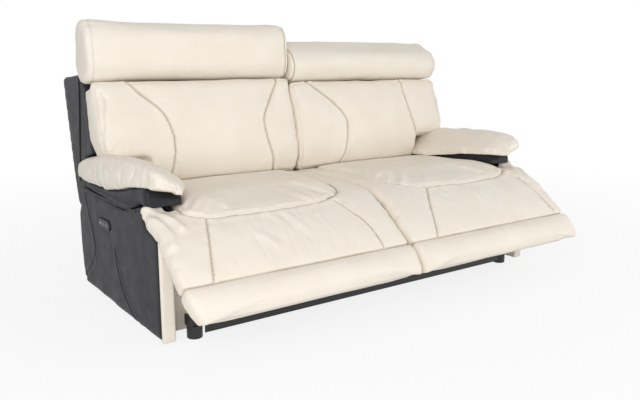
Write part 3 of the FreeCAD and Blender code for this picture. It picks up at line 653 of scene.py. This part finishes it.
INSERT_EDGE = (
    (0.112, 0.590), (0.110, 0.450), (0.110, 0.316), (0.120, 0.200), (0.142, 0.100), (0.190, 0.040),
    (0.262, 0.014), (0.390, 0.004), (0.570, 0.000), (0.720, 0.004), (0.800, 0.014), (0.848, 0.036),
    (0.868, 0.070), (0.868, 0.120), (0.850, 0.200), (0.820, 0.320), (0.808, 0.450), (0.800, 0.590),
)
FOOT_SEAMS = {
    "left": (((-0.798, 0.015), (-0.837, -0.083), (-0.868, -0.161), (-0.894, -0.225)),
             ((-0.227, -0.003), (-0.197, -0.060), (-0.159, -0.116), (-0.143, -0.176),
              (-0.141, -0.228))),
    "right": (((0.290, -0.004), (0.224, -0.099), (0.186, -0.169), (0.150, -0.227)),
              ((0.845, 0.012), (0.893, -0.030), (0.918, -0.104), (0.950, -0.225))),
}
BACK_SEAMS = {
    "left": (((-0.830, 0.935), (-0.780, 0.878), (-0.692, 0.798), (-0.658, 0.715), (-0.652, 0.641),
              (-0.666, 0.560), (-0.688, 0.480)),
             ((-0.070, 0.930), (-0.112, 0.860), (-0.186, 0.752), (-0.184, 0.660), (-0.160, 0.560),
              (-0.146, 0.480))),
    "right": (((0.070, 0.930), (0.130, 0.880), (0.230, 0.800), (0.285, 0.735), (0.296, 0.679),
               (0.276, 0.560), (0.245, 0.470)),
              ((0.722, 0.930), (0.718, 0.860), (0.722, 0.792), (0.755, 0.660), (0.790, 0.560),
               (0.814, 0.500))),
}

# Lines of the arms and the outer backs, as depths and heights: two seams of the outer side,
# the welt along its upper edge, the hem of the pillow and the welt of the outer back.
PANEL_SEAMS = (
    ((0.799, 0.470), (0.751, 0.398), (0.696, 0.276), (0.682, 0.212), (0.720, 0.150), (0.838, 0.054),
     (0.870, 0.030)),
    ((0.440, 0.270), (0.433, 0.241), (0.417, 0.182), (0.340, 0.082), (0.211, 0.002)),
)
PANEL_WELT = ((0.790, 0.474), (0.724, 0.470), (0.600, 0.470), (0.516, 0.470), (0.360, 0.468),
              (0.245, 0.468), (0.160, 0.476))
PILLOW_HEM = ((0.020, 0.585), (0.060, 0.586), (0.120, 0.580), (0.270, 0.558), (0.500, 0.518),
              (0.770, 0.518))
BACK_WELT = ((0.833, 0.936), (0.838, 0.880), (0.852, 0.780), (0.868, 0.680), (0.884, 0.575),
             (0.896, 0.480))

# Gathers round the pillow's tip, and folds of the seat, as widths and depths: at the corner
# by the arm, down the front and on the seat pad.
PILLOW_TIP = ((0.775, 0.160), (0.800, 0.090), (0.850, 0.045), (0.900, 0.026), (0.950, 0.034),
              (0.985, 0.070))
CORNER_FOLDS = (
    ((0.990, 0.120), (0.955, 0.060), (0.925, 0.010), (0.915, -0.030)),
    ((0.998, 0.060), (0.975, 0.010), (0.965, -0.040), (0.975, -0.090)),
    ((0.960, 0.160), (0.900, 0.120), (0.870, 0.090)),
)
FRONT_FOLDS = (
    ((0.560, -0.020), (0.530, -0.070), (0.545, -0.120)),
    ((0.480, -0.040), (0.450, -0.110)),
    ((0.640, -0.110), (0.600, -0.150)),
    ((0.330, -0.010), (0.350, -0.060)),
)
PAD_FOLDS = (
    ((0.200, 0.060), (0.260, 0.120), (0.300, 0.200)),
    ((0.160, 0.180), (0.230, 0.230)),
    ((0.330, 0.030), (0.370, 0.090), (0.380, 0.150)),
    ((0.700, 0.060), (0.660, 0.130)),
)

# Sections of the stuffing that fills the covers out beyond the plain foam, as depths and
# heights: under the front edge of the seat, at the seat's shoulder over the arm, in the back's
# upper wing, down the front of that wing, and along the back's top.
SEAT_NOSE = ((0.030, 0.467), (-0.006, 0.450), (-0.059, 0.423), (-0.070, 0.410), (-0.060, 0.385),
             (-0.021, 0.3805), (-0.008, 0.386), (0.0, 0.402), (0.030, 0.402))
SEAT_SHOULDER = ((0.050, 0.445), (0.050, 0.470), (0.090, 0.486), (0.112, 0.502), (0.130, 0.498),
                 (0.134, 0.445))
BACK_WING = ((0.563, 0.660), (0.566, 0.615), (0.600, 0.594), (0.704, 0.594), (0.710, 0.660))
BACK_LUMBAR = ((0.560, 0.665), (0.555, 0.612), (0.554, 0.550), (0.584, 0.488), (0.686, 0.488),
               (0.700, 0.665))


def seats():
    """Seat covers, which run on without a break over the front edge and down the footrest."""
    made = []
    for side, s in SIDES.items():
        bm = copies(f"seat_cushion_{side}", f"leg_pad_{side}")
        board_part(bm, side, False)
        bar(bm, SEAT_NOSE, s * 0.010, s * 1.000)
        bar(bm, SEAT_SHOULDER, s * 0.920, s * 1.003)
        obj = skin(new_piece(f"seat_cover_{side}", bm), 0.0095, 8, 0.002)
        co, no = points(obj), normals(obj)
        y = co[:, 1] + ARM_PLANE
        seen, flat = on_view(obj, FLAT, UP, -0.2)
        d, _ = reach(flat, smooth_run(mirrored(INSERT_EDGE, s)))
        inside = (d * s > -0.004) & (y > -0.01) & (np.abs(co[:, 0]) > 0.1) & seen
        inside &= np.abs(co[:, 0]) < 0.86
        lines = [near(reach(flat, smooth_run(line))[0], 0.008) * seen for line in FOOT_SEAMS[side]]
        board = (no[:, 2] < -0.3)
        rear = y > 0.56
        front = near(footrest_depth(co)[0] - 0.216, 0.014)
        flank = np.clip((np.abs(co[:, 0]) - 0.94) / 0.03, 0, 1) * (y > -0.02)
        held(obj, inside, board, rear, front, flank, near(d, 0.008) * seen, *lines)
        made.append(obj)
    puff([(obj, 4.0, 0.006, 0.016) for obj in made])
    for obj, (side, s) in zip(made, SIDES.items()):
        refine(obj)
        ripple(obj, 0.10, 0.0022, 3 if s < 0 else 11)
        for i, line in enumerate(FOOT_SEAMS[side]):
            sew(obj, line, FLAT, UP_FORWARD, 0.0045, 0.005, 0.0018, 0.02, 5 + i)
        sew(obj, mirrored(INSERT_EDGE, s), FLAT, UP_FORWARD, 0.006, 0.009, 0.0022, 0.03, 9)
        for line in CORNER_FOLDS:
            raise_fold(obj, mirrored(line, s), UP_FORWARD, 0.0075, 0.013, 0.001, 19)
        for line in FRONT_FOLDS:
            raise_fold(obj, mirrored(line, s), UP_FORWARD, 0.0028, 0.012, 0.0, 23)
        bend = ("base", f"legrest_{side}", tuple(at(0, 0.030, 0.440)), tuple(at(0, -0.085, 0.375)))
        dress(obj, None, "cream_leather", [f"seat_cushion_{side}", f"leg_pad_{side}"], bend)
        rows = [(line, FLAT, (0, -0.5, 0.9), off)
                for line in FOOT_SEAMS[side] for off in (-0.006, 0.006)]
        thread(f"foot_stitches_{side}", obj, rows, None, bend)


def inserts():
    """Seat pads, sewn on top of the covers with a rolled front edge."""
    made = []
    for side, s in SIDES.items():
        run = smooth_run(mirrored(INSERT_EDGE, s), 6)
        bm = bmesh.new()
        face = bm.faces.new([bm.verts.new(at(x, y, -0.026)) for x, y in run])
        grown = bmesh.ops.extrude_face_region(bm, geom=[face])
        top = [e for e in grown["geom"] if isinstance(e, bmesh.types.BMVert)]
        bmesh.ops.translate(bm, verts=top, vec=(0, 0, 0.040))
        bmesh.ops.recalc_face_normals(bm, faces=bm.faces)
        obj = skin(new_piece(f"seat_pad_{side}", bm), 0.008, 4, 0.0)
        co = points(obj)
        co[:, 2] += seat_height(co[:, 1] + ARM_PLANE)
        place(obj, co)
        co, no = points(obj), normals(obj)
        lift = co[:, 2] - seat_height(co[:, 1] + ARM_PLANE)
        held(obj, no[:, 2] < -0.3, lift < 0.0, co[:, 1] + ARM_PLANE > 0.57)
        made.append(obj)
    puff([(obj, 4.0, 0.004, 0.016) for obj in made])
    for obj, (side, s) in zip(made, SIDES.items()):
        refine(obj)
        ripple(obj, 0.13, 0.003, 2 if s < 0 else 21)
        for line in PAD_FOLDS:
            raise_fold(obj, mirrored(line, s), UP, 0.004, 0.014, 0.0, 25)
        dress(obj, "base", "cream_leather", [])
        rows = [(mirrored(INSERT_EDGE, s)[2:16], FLAT, UP, s * 0.016)]
        thread(f"seat_stitches_{side}", obj, rows, "base")


def ottomans():
    """Rolled front edges of the footrests."""
    made = []
    for side, s in SIDES.items():
        bm = copies(f"leg_roll_{side}")
        board_part(bm, side, True)
        obj = skin(new_piece(f"foot_roll_{side}", bm), 0.0085, 10, 0.0)
        co, no = points(obj), normals(obj)
        depth, out = footrest_depth(co)
        over = np.maximum(depth - (0.352 - 0.75 * np.maximum(0.045 - out, 0)), 0)
        co += over[:, None] * np.array((0, math.sin(FOOT_LEAN), math.cos(FOOT_LEAN)))
        # The roll of the left seat draws in towards its outer lower corner.
        down = np.clip((depth - 0.216) / 0.141, 0, 1)
        taper = 0.034 if s < 0 else -0.006
        co[:, 0] *= 1 - taper * down ** 2 * np.clip(np.abs(co[:, 0]) - 0.5, 0, 0.5) * 2
        place(obj, co)
        held(obj, (no[:, 1] > 0.35), near(footrest_depth(co)[0] - 0.217, 0.010))
        made.append(obj)
    puff([(obj, 4.0, 0.0, 0.012) for obj in made])
    for obj, (side, s) in zip(made, SIDES.items()):
        refine(obj)
        ripple(obj, 0.16, 0.002, 31 if s < 0 else 37)
        dress(obj, f"legrest_{side}", "cream_leather", [f"leg_roll_{side}", f"leg_board_{side}"])


def backs():
    """Back cushions: three sewn panels with a boxed outer side."""
    made = []
    for side, s in SIDES.items():
        bm = copies(f"back_cushion_{side}")
        bar(bm, BACK_WING, s * 0.700, s * 0.956)
        bar(bm, BACK_LUMBAR, s * 0.680, s * 0.768)
        # The left top swells, because its headrest is raised and doesn't press on it.
        full = 0.020 if s < 0 else 0.0
        bar(bm, ((0.625, 0.840), (0.641, 0.896 + full), (0.668, 0.906 + full),
                 (0.690, 0.902 + full), (0.700, 0.840)), s * 0.008, s * 0.956)
        obj = skin(new_piece(f"back_pad_{side}", bm), 0.009, 12)
        co, no = points(obj), normals(obj)
        co += no * np.where(no[:, 1] < -0.1, -0.009, 0.0)[:, None]
        # Above the arm the outer side swells out past it.
        wide = np.clip((np.abs(co[:, 0]) - 0.80) / 0.12, 0, 1)
        co[:, 0] += s * 0.016 * (wide * np.clip((co[:, 2] - 0.62) / 0.06, 0, 1))
        co[:, 2] -= 0.009 * np.clip((0.53 - co[:, 2]) / 0.04, 0, 1)
        place(obj, co)
        seen, flat = on_view(obj, FACE, FORWARD, 0.15)
        lines = [near(reach(flat, smooth_run(line))[0], 0.009) * seen for line in BACK_SEAMS[side]]
        held(obj, no[:, 1] > 0.25, no[:, 2] < -0.6, *lines)
        made.append(obj)
    puff([(obj, 5.0, 0.002, 0.024) for obj in made])
    for obj, (side, s) in zip(made, SIDES.items()):
        refine(obj)
        ripple(obj, 0.14, 0.003, 41 if s < 0 else 47)
        for i, line in enumerate(BACK_SEAMS[side]):
            sew(obj, line, FACE, FORWARD, 0.0055, 0.0055, 0.0018, 0.024, 13 + i, 0.05)
        edge = ((0.640, 0.880), (0.604, 0.796), (0.586, 0.700), (0.586, 0.640))
        outer = np.abs(points(obj)[:, 0]) > 0.915
        sew(obj, edge, FLANK, (s, 0, 0), 0.0016, 0.005, 0.0006, 0.03, 17, 0.2, outer, 0.2)
        dress(obj, f"back_{side}", "cream_leather", [f"back_cushion_{side}"])
        rows = [(line, FACE, FORWARD, off) for line in BACK_SEAMS[side] for off in (-0.007, 0.007)]
        thread(f"back_stitches_{side}", obj, rows, f"back_{side}")


def head_rolls():
    """Headrest rolls with gathered round ends."""
    made = []
    for side, s in SIDES.items():
        obj = skin(new_piece(f"head_pillow_{side}", copies(f"head_roll_{side}")), 0.009, 14, 0.0)
        co, no = points(obj), normals(obj)
        if s < 0:
            # The raised pillow is plumper, and sags on to the cushion under it.
            top, low = co[:, 2].max(), co[:, 2].min()
            co[:, 2] = top + 0.017 - (top - co[:, 2]) * (1.055 + 0.017 / (top - low))
        co[:, 0] += s * 0.024 * np.clip((np.abs(co[:, 0]) - 0.80) / 0.15, 0, 1)
        place(obj, co)
        held(obj, np.abs(no[:, 0]) > 0.8)
        made.append(obj)
    puff([(obj, 3.0, 0.0, 0.010) for obj in made])
    for obj, (side, s) in zip(made, SIDES.items()):
        refine(obj)
        ripple(obj, 0.15, 0.003, 51 if s < 0 else 57)
        ring(obj, s * 0.022, 0.0035, 0.005, 0.0026, 0.026, 53, 1.0)
        ring(obj, s * 0.955, 0.0015, 0.006, 0.0036, 0.030, 53, 0.25)
        dress(obj, f"headrest_{side}", "cream_leather", [f"head_roll_{side}"])


def arm_lift(width, y):
    """How far the pillow's lower edge climbs towards the front of the arm."""
    climb = np.interp(y, (0.02, 0.12, 0.27, 0.36), (0.042, 0.026, 0.010, 0.0))
    return climb * (1 - 0.8 * np.clip((0.97 - width) / 0.10, 0, 1))


def tuck(co, pillow):
    """Draws the inner side of an arm's pillow or band out towards the arm, more so at its tip."""
    width, y = np.abs(co[:, 0]), co[:, 1] + ARM_PLANE
    share = np.interp(y, (0.02, 0.07, 0.13, 0.25, 0.55), (0.10, 0.24, 0.42, 0.55, 0.64))
    if not pillow:
        co[:, 2] -= 0.006 * np.clip((0.505 - co[:, 2]) / 0.04, 0, 1)
        co[:, 2] += arm_lift(width, y) * np.clip((co[:, 2] - 0.495) / 0.03, 0, 1)
        share = np.interp(y, (0.05, 0.10, 0.17, 0.25, 0.55), (0.16, 0.28, 0.36, 0.46, 0.62))
        # The seat cover wraps over the arm in front of the band's lower edge.
        co[:, 2] = np.maximum(co[:, 2], np.interp(y, (0.0, 0.20, 0.235), (0.496, 0.492, 0.0)))
        # Its outer front corner is well rounded.
        corner = np.clip((width - 0.90) / 0.09, 0, 1) ** 2
        co[:, 1] += 0.045 * corner * np.clip((0.12 - y) / 0.12, 0, 1)
    across = np.clip((0.90 - width) / 0.21, 0, 1.2)
    co[:, 0] = np.sign(co[:, 0]) * np.where(width < 0.90, 0.90 - across * 0.21 * share, width)
    if pillow:
        low = np.interp(y, (0.02, 0.12, 0.27, 0.50, 0.70), (0.530, 0.537, 0.530, 0.499, 0.497))
        top = np.interp(y, (0.02, 0.04, 0.11, 0.21, 0.33, 0.56, 0.70, 0.79),
                        (0.555, 0.600, 0.642, 0.654, 0.651, 0.620, 0.596, 0.562))
        floor = low + arm_lift(width, y)
        ridge = np.interp(y, (0.02, 0.06, 0.12, 0.22, 0.39, 0.56, 0.70, 0.80),
                          (0.600, 0.624, 0.638, 0.646, 0.648, 0.634, 0.608, 0.575))
        inner = (0.955 - np.abs(co[:, 0])) / (0.055 + 0.21 * share)
        outer = (width - 0.955) / 0.09
        fall = np.where(width > 0.955, np.abs(outer) ** 2.2, np.abs(inner) ** 1.2)
        height = np.maximum(co[:, 2] - low, 0) / np.maximum(top - low, 0.03)
        dome = (ridge - floor) * (1 - 0.9 * np.minimum(fall, 1))
        co[:, 2] = np.minimum(co[:, 2] - low, 0) + floor + height * dome
        long = np.clip((width - 0.88) / 0.08, 0, 1)
        co[:, 1] += long * 0.27 * np.clip(y - 0.5, 0, 1)
        co[:, 0] = np.sign(co[:, 0]) * (np.abs(co[:, 0]) + 0.24 * np.clip(width - 0.90, 0, 1))
    return co


def arm_pads():
    """Pillow tops of the arms."""
    made = []
    for side, s in SIDES.items():
        obj = skin(new_piece(f"arm_pillow_{side}", copies(f"arm_pad_{side}")), 0.0085, 7, 0.004)
        place(obj, tuck(points(obj), True))
        no = normals(obj)
        held(obj, no[:, 2] < -0.6)
        made.append(obj)
    puff([(obj, 4.5, 0.03, 0.014) for obj in made])
    for obj, (side, s) in zip(made, SIDES.items()):
        refine(obj)
        ripple(obj, 0.12, 0.003, 61 if s < 0 else 67)
        sew(obj, PILLOW_HEM, FLANK, (s, 0, 0), 0.001, 0.008, 0.0022, 0.022, 63, 0.0, mark=0.0)
        sew(obj, mirrored(PILLOW_TIP, s), FLAT, (0, -0.6, 0.4), 0.0015, 0.008, 0.0034, 0.016, 65,
            0.0, mark=0.0)
        dress(obj, "base", "cream_leather", [f"arm_pad_{side}"])


def arms():
    """Outer sides, bands and front faces of the arms."""
    for side, s in SIDES.items():
        panel = new_piece(f"arm_side_{side}", copies(f"arm_panel_{side}"))
        refine(skin(panel, 0.010, 3, 0.0))
        for i, line in enumerate(PANEL_SEAMS):
            sew(panel, line, FLANK, (s, 0, 0), 0.003, 0.006, 0.001, 0.03, 71 + i, mark=0.8)
        piping(f"arm_welt_{side}", s * 1.0035, PANEL_WELT, 0.007, "base", "charcoal_leather")
        ripple(panel, 0.11, 0.0022, 71 if s < 0 else 77)
        dress(panel, "base", "charcoal_leather", [f"arm_panel_{side}"])
        band = skin(new_piece(f"arm_wrap_{side}", copies(f"arm_band_{side}")), 0.008, 3, -0.003)
        place(band, tuck(points(band), False))
        refine(band)
        dress(band, "base", "charcoal_leather", [f"arm_band_{side}"])
        front = skin(new_piece(f"arm_face_{side}", copies(f"arm_front_{side}")), 0.0038, 3, 0.0)
        dress(front, "base", "cream_leather", [f"arm_front_{side}"])


def shells():
    """Upholstered outer backs."""
    for side, s in SIDES.items():
        obj = skin(new_piece(f"outer_back_{side}", copies(f"back_shell_{side}")), 0.0085, 3, 0.0)
        co, no = points(obj), normals(obj)
        rear = np.clip(no[:, 1], 0, 1) * np.clip((np.abs(co[:, 0]) - 0.70) / 0.2, 0, 1)
        co[:, 1] += 0.034 * rear * np.clip((co[:, 2] - 0.30) / 0.3, 0, 1)
        place(obj, co)
        ripple(obj, 0.2, 0.002, 81 if s < 0 else 87)
        dress(obj, f"back_{side}", "charcoal_leather", [f"back_shell_{side}"])
        piping(f"outer_back_welt_{side}", s * 0.9665, BACK_WELT, 0.005, f"back_{side}",
               "charcoal_leather")


def piping(name, x, row, thick, body, slot):
    """A welt that stands along a seam: a round cord under the same hide."""
    curve = bpy.data.curves.new(name, "CURVE")
    curve.dimensions = "3D"
    curve.bevel_depth = thick / 2
    curve.bevel_resolution = 2
    line = curve.splines.new("NURBS")
    line.points.add(len(row) - 1)
    for point, (y, z) in zip(line.points, row):
        point.co = (*at(x, y, z), 1)
    line.order_u = 3
    line.use_endpoint_u = True
    cord = bpy.data.objects.new(name, curve)
    bpy.context.scene.collection.objects.link(cord)
    bpy.context.view_layer.update()
    graph = bpy.context.evaluated_depsgraph_get()
    mesh = bpy.data.meshes.new_from_object(cord.evaluated_get(graph))
    bpy.data.objects.remove(cord)
    obj = bpy.data.objects.new(name, mesh)
    bpy.context.scene.collection.objects.link(obj)
    return dress(obj, body, slot, [])


def switches():
    """Charging sockets in the switch plates."""
    for side, s in SIDES.items():
        bm = bmesh.new()
        bmesh.ops.create_circle(bm, cap_ends=False, segments=40, radius=0.0062)
        grown = bmesh.ops.extrude_edge_only(bm, edges=list(bm.edges))
        inner = [e for e in grown["geom"] if isinstance(e, bmesh.types.BMVert)]
        bmesh.ops.scale(bm, vec=(0.68, 0.68, 1), verts=inner)
        bmesh.ops.translate(bm, vec=(0, 0, 0.0008), verts=inner)
        lip = [e for e in bm.edges if all(v in inner for v in e.verts)]
        deep = bmesh.ops.extrude_edge_only(bm, edges=lip)
        floor = [e for e in deep["geom"] if isinstance(e, bmesh.types.BMVert)]
        bmesh.ops.translate(bm, vec=(0, 0, -0.0030), verts=floor)
        bottom = [e for e in bm.edges if all(v in floor for v in e.verts)]
        bmesh.ops.contextual_create(bm, geom=bottom)
        bmesh.ops.rotate(bm, verts=bm.verts, matrix=Euler((0, s * math.pi / 2, 0)).to_matrix())
        bmesh.ops.translate(bm, vec=at(s * 0.9908, 0.5945, 0.350), verts=bm.verts)
        bmesh.ops.recalc_face_normals(bm, faces=bm.faces)
        obj = new_piece(f"socket_{side}", bm)
        obj.data.materials.append(finish_of("zinc_steel"))
        obj.data.polygons.foreach_set("use_smooth", [True] * len(obj.data.polygons))
        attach(obj, "base")


def frame_parts():
    """Steel, plywood and plastic parts, which keep their solids."""
    for name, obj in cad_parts.items():
        for holder in obj.material_slots:
            if name.startswith(("arm_core", "seat_deck")):
                # Wrapped in the charcoal hide where they show: under the band, and in the crease
                # when the back tilts, where the dark deck also stands in for painted shade of the
                # gap.
                holder.material = finish_of("charcoal_leather")
                continue
            slot = holder.material.name.split(".")[0]
            if slot in ("plywood", "black_steel", "zinc_steel", "black_plastic", "black_gloss"):
                holder.material = finish_of(slot)


def stage():
    """Pale floor, soft lamps and the camera."""
    scene = bpy.context.scene
    scene.view_settings.view_transform = "Standard"
    look = scene.sofa_stage
    camera = bpy.data.cameras.new("camera")
    camera.sensor_width = 36.0
    camera.lens = look.lens
    eye = bpy.data.objects.new("camera", camera)
    eye.location = (-1.9442, -2.63975, 1.0221)
    eye.rotation_euler = Euler((math.pi / 2 - 0.1977, 0, -0.6276))
    scene.collection.objects.link(eye)
    scene.camera = eye

    bm = bmesh.new()
    bmesh.ops.create_grid(bm, x_segments=2, y_segments=2, size=14.0)
    floor = new_piece("floor", bm)
    material, shader = blank("Matt white paper floor")
    shader.inputs["Base Color"].default_value = (*linear("#F4F4F4"), 1)
    shader.inputs["Roughness"].default_value = 0.9
    glow = node(material, "ShaderNodeEmission", {"Color": (1, 1, 1, 1), "Strength": 1.0})
    path = node(material, "ShaderNodeLightPath")
    seen = node(material, "ShaderNodeMath",
                {0: path.outputs["Is Camera Ray"], 1: path.outputs["Is Glossy Ray"]},
                operation="MAXIMUM")
    # The shadow stays near the sofa, and the floor runs out to plain white 4 m from it.
    spot = node(material, "ShaderNodeTexCoord").outputs["Object"]
    away = node(material, "ShaderNodeVectorMath", {0: spot}, operation="LENGTH")
    plain = node(material, "ShaderNodeMapRange",
                 {"Value": away.outputs["Value"], "From Min": 1.2, "From Max": 4.0,
                  "To Min": 0.84, "To Max": 1.0})
    part = node(material, "ShaderNodeMath",
                {0: seen.outputs["Value"], 1: plain.outputs["Result"]}, operation="MULTIPLY")
    mixed = node(material, "ShaderNodeMixShader",
                 {0: part.outputs["Value"], 1: shader.outputs["BSDF"],
                  2: glow.outputs["Emission"]})
    surface = material.node_tree.nodes["Material Output"].inputs["Surface"]
    wire(material, mixed.outputs["Shader"], surface)
    floor.data.materials.append(material)

    world = bpy.data.worlds.new("white room")
    world.use_nodes = True
    scene.world = world
    # The room is white to the eye and in reflections, and lights the sofa more softly.
    path = node(world, "ShaderNodeLightPath")
    seen = node(world, "ShaderNodeMath",
                {0: path.outputs["Is Camera Ray"], 1: path.outputs["Is Glossy Ray"]},
                operation="MAXIMUM")
    level = node(world, "ShaderNodeMapRange",
                 {"Value": seen.outputs["Value"], "To Min": look.room_light, "To Max": 1.0})
    room = world.node_tree.nodes["Background"]
    room.inputs["Color"].default_value = (1, 1, 1, 1)
    wire(world, level.outputs["Result"], room.inputs["Strength"])

    for name, spot, aim, size, power in (
        ("key", (-3.0, -2.9, 1.7), (0.0, 0.0, 0.6), 2.0, look.key_light),
        ("fill", (2.2, -3.5, 1.5), (0.2, 0.0, 0.6), 2.2, look.key_light * 0.66),
        ("top", (0.0, -0.4, 3.6), (0.0, 0.0, 0.6), 2.4, look.key_light * 0.05),
    ):
        lamp = bpy.data.lights.new(name, "AREA")
        lamp.shape = "SQUARE"
        lamp.size = size
        lamp.energy = power
        holder = bpy.data.objects.new(name, lamp)
        holder.location = spot
        holder.rotation_euler = (Vector(aim) - Vector(spot)).to_track_quat("-Z", "Y").to_euler()
        scene.collection.objects.link(holder)


class SofaLeather(bpy.types.PropertyGroup):
    """Colours and grain of the two hides"""

    cream: FloatVectorProperty(
        name="Cream", description="Colour of the seats, backs and pillows",
        subtype="COLOR", size=3, default=linear("#EFE7DA"))
    cream_shade: FloatVectorProperty(
        name="Cream drift", description="Darker tone that the cream drifts to",
        subtype="COLOR", size=3, default=linear("#EBE2D4"))
    charcoal: FloatVectorProperty(
        name="Charcoal", description="Colour of the arms and outer backs",
        subtype="COLOR", size=3, default=linear("#2A2A2E"))
    charcoal_shade: FloatVectorProperty(
        name="Charcoal drift", description="Darker tone that the charcoal drifts to",
        subtype="COLOR", size=3, default=linear("#26262A"))
    grain: FloatProperty(
        name="Grain", description="Width of one pebble of the grain", default=0.0016,
        min=0.0005, max=0.01, precision=4, unit="LENGTH")


class SofaStage(bpy.types.PropertyGroup):
    """Camera and lights of the stage"""

    lens: FloatProperty(
        name="Lens", description="Focal length of the camera", default=40.106, min=10,
        max=200, unit="CAMERA")
    room_light: FloatProperty(
        name="Room light", description="Strength of the light from all around",
        default=0.44, min=0, max=2)
    key_light: FloatProperty(
        name="Key light", description="Power of the main lamp", default=72.0, min=0,
        max=1000, unit="POWER")


class SOFA_OT_stage(bpy.types.Operator):
    """Lay the pale floor, hang the soft lamps and set up the camera"""

    bl_idname = "sofa.stage"
    bl_label = "Stage"

    def execute(self, context):
        stage()
        return {"FINISHED"}


class SOFA_OT_frame_parts(bpy.types.Operator):
    """Finish the steel, plywood and plastic parts"""

    bl_idname = "sofa.frame_parts"
    bl_label = "Frame parts"

    def execute(self, context):
        frame_parts()
        return {"FINISHED"}


class SOFA_OT_seats(bpy.types.Operator):
    """Sew the seat covers, which run on down the footrests"""

    bl_idname = "sofa.seats"
    bl_label = "Seat covers"

    def execute(self, context):
        seats()
        return {"FINISHED"}


class SOFA_OT_inserts(bpy.types.Operator):
    """Sew the pads on top of the seat covers"""

    bl_idname = "sofa.inserts"
    bl_label = "Seat pads"

    def execute(self, context):
        inserts()
        return {"FINISHED"}


class SOFA_OT_ottomans(bpy.types.Operator):
    """Fill the rolled front edges of the footrests"""

    bl_idname = "sofa.ottomans"
    bl_label = "Footrest rolls"

    def execute(self, context):
        ottomans()
        return {"FINISHED"}


class SOFA_OT_backs(bpy.types.Operator):
    """Sew the three panels of each back cushion"""

    bl_idname = "sofa.backs"
    bl_label = "Back cushions"

    def execute(self, context):
        backs()
        return {"FINISHED"}


class SOFA_OT_head_rolls(bpy.types.Operator):
    """Fill the headrest rolls and gather their ends"""

    bl_idname = "sofa.head_rolls"
    bl_label = "Headrests"

    def execute(self, context):
        head_rolls()
        return {"FINISHED"}


class SOFA_OT_arm_pads(bpy.types.Operator):
    """Fill the pillow tops of the arms"""

    bl_idname = "sofa.arm_pads"
    bl_label = "Arm pillows"

    def execute(self, context):
        arm_pads()
        return {"FINISHED"}


class SOFA_OT_arms(bpy.types.Operator):
    """Cover the outer sides, bands and front faces of the arms"""

    bl_idname = "sofa.arms"
    bl_label = "Arm sides"

    def execute(self, context):
        arms()
        return {"FINISHED"}


class SOFA_OT_shells(bpy.types.Operator):
    """Upholster the outer backs"""

    bl_idname = "sofa.shells"
    bl_label = "Outer backs"

    def execute(self, context):
        shells()
        return {"FINISHED"}


class SOFA_OT_switches(bpy.types.Operator):
    """Fit the charging sockets in the switch plates"""

    bl_idname = "sofa.switches"
    bl_label = "Charging sockets"

    def execute(self, context):
        switches()
        return {"FINISHED"}


OPERATORS = (
    SOFA_OT_stage,
    SOFA_OT_frame_parts,
    SOFA_OT_seats,
    SOFA_OT_inserts,
    SOFA_OT_ottomans,
    SOFA_OT_backs,
    SOFA_OT_head_rolls,
    SOFA_OT_arm_pads,
    SOFA_OT_arms,
    SOFA_OT_shells,
    SOFA_OT_switches,
)


class SOFA_PT_panel(bpy.types.Panel):
    """Colours, lights and steps of the sofa"""

    bl_idname = "SOFA_PT_panel"
    bl_label = "Reclining Sofa"
    bl_space_type = "VIEW_3D"
    bl_region_type = "UI"
    bl_category = "Sofa"

    def draw(self, context):
        for group in (context.scene.sofa_leather, context.scene.sofa_stage):
            for name in group.__annotations__:
                self.layout.prop(group, name)
        for made in OPERATORS:
            self.layout.operator(made.bl_idname)


CLASSES = [SofaLeather, SofaStage, *OPERATORS, SOFA_PT_panel]


def register():
    """Registers the classes and their properties."""
    for made in CLASSES:
        bpy.utils.register_class(made)
    bpy.types.Scene.sofa_leather = PointerProperty(type=SofaLeather)
    bpy.types.Scene.sofa_stage = PointerProperty(type=SofaStage)


def unregister():
    """Takes the properties and classes away again."""
    del bpy.types.Scene.sofa_stage
    del bpy.types.Scene.sofa_leather
    for made in reversed(CLASSES):
        bpy.utils.unregister_class(made)


def main():
    """Makes the whole sofa."""
    register()
    for made in OPERATORS:
        group, name = made.bl_idname.split(".")
        getattr(getattr(bpy.ops, group), name)()


if __name__ == "__main__":
    main()
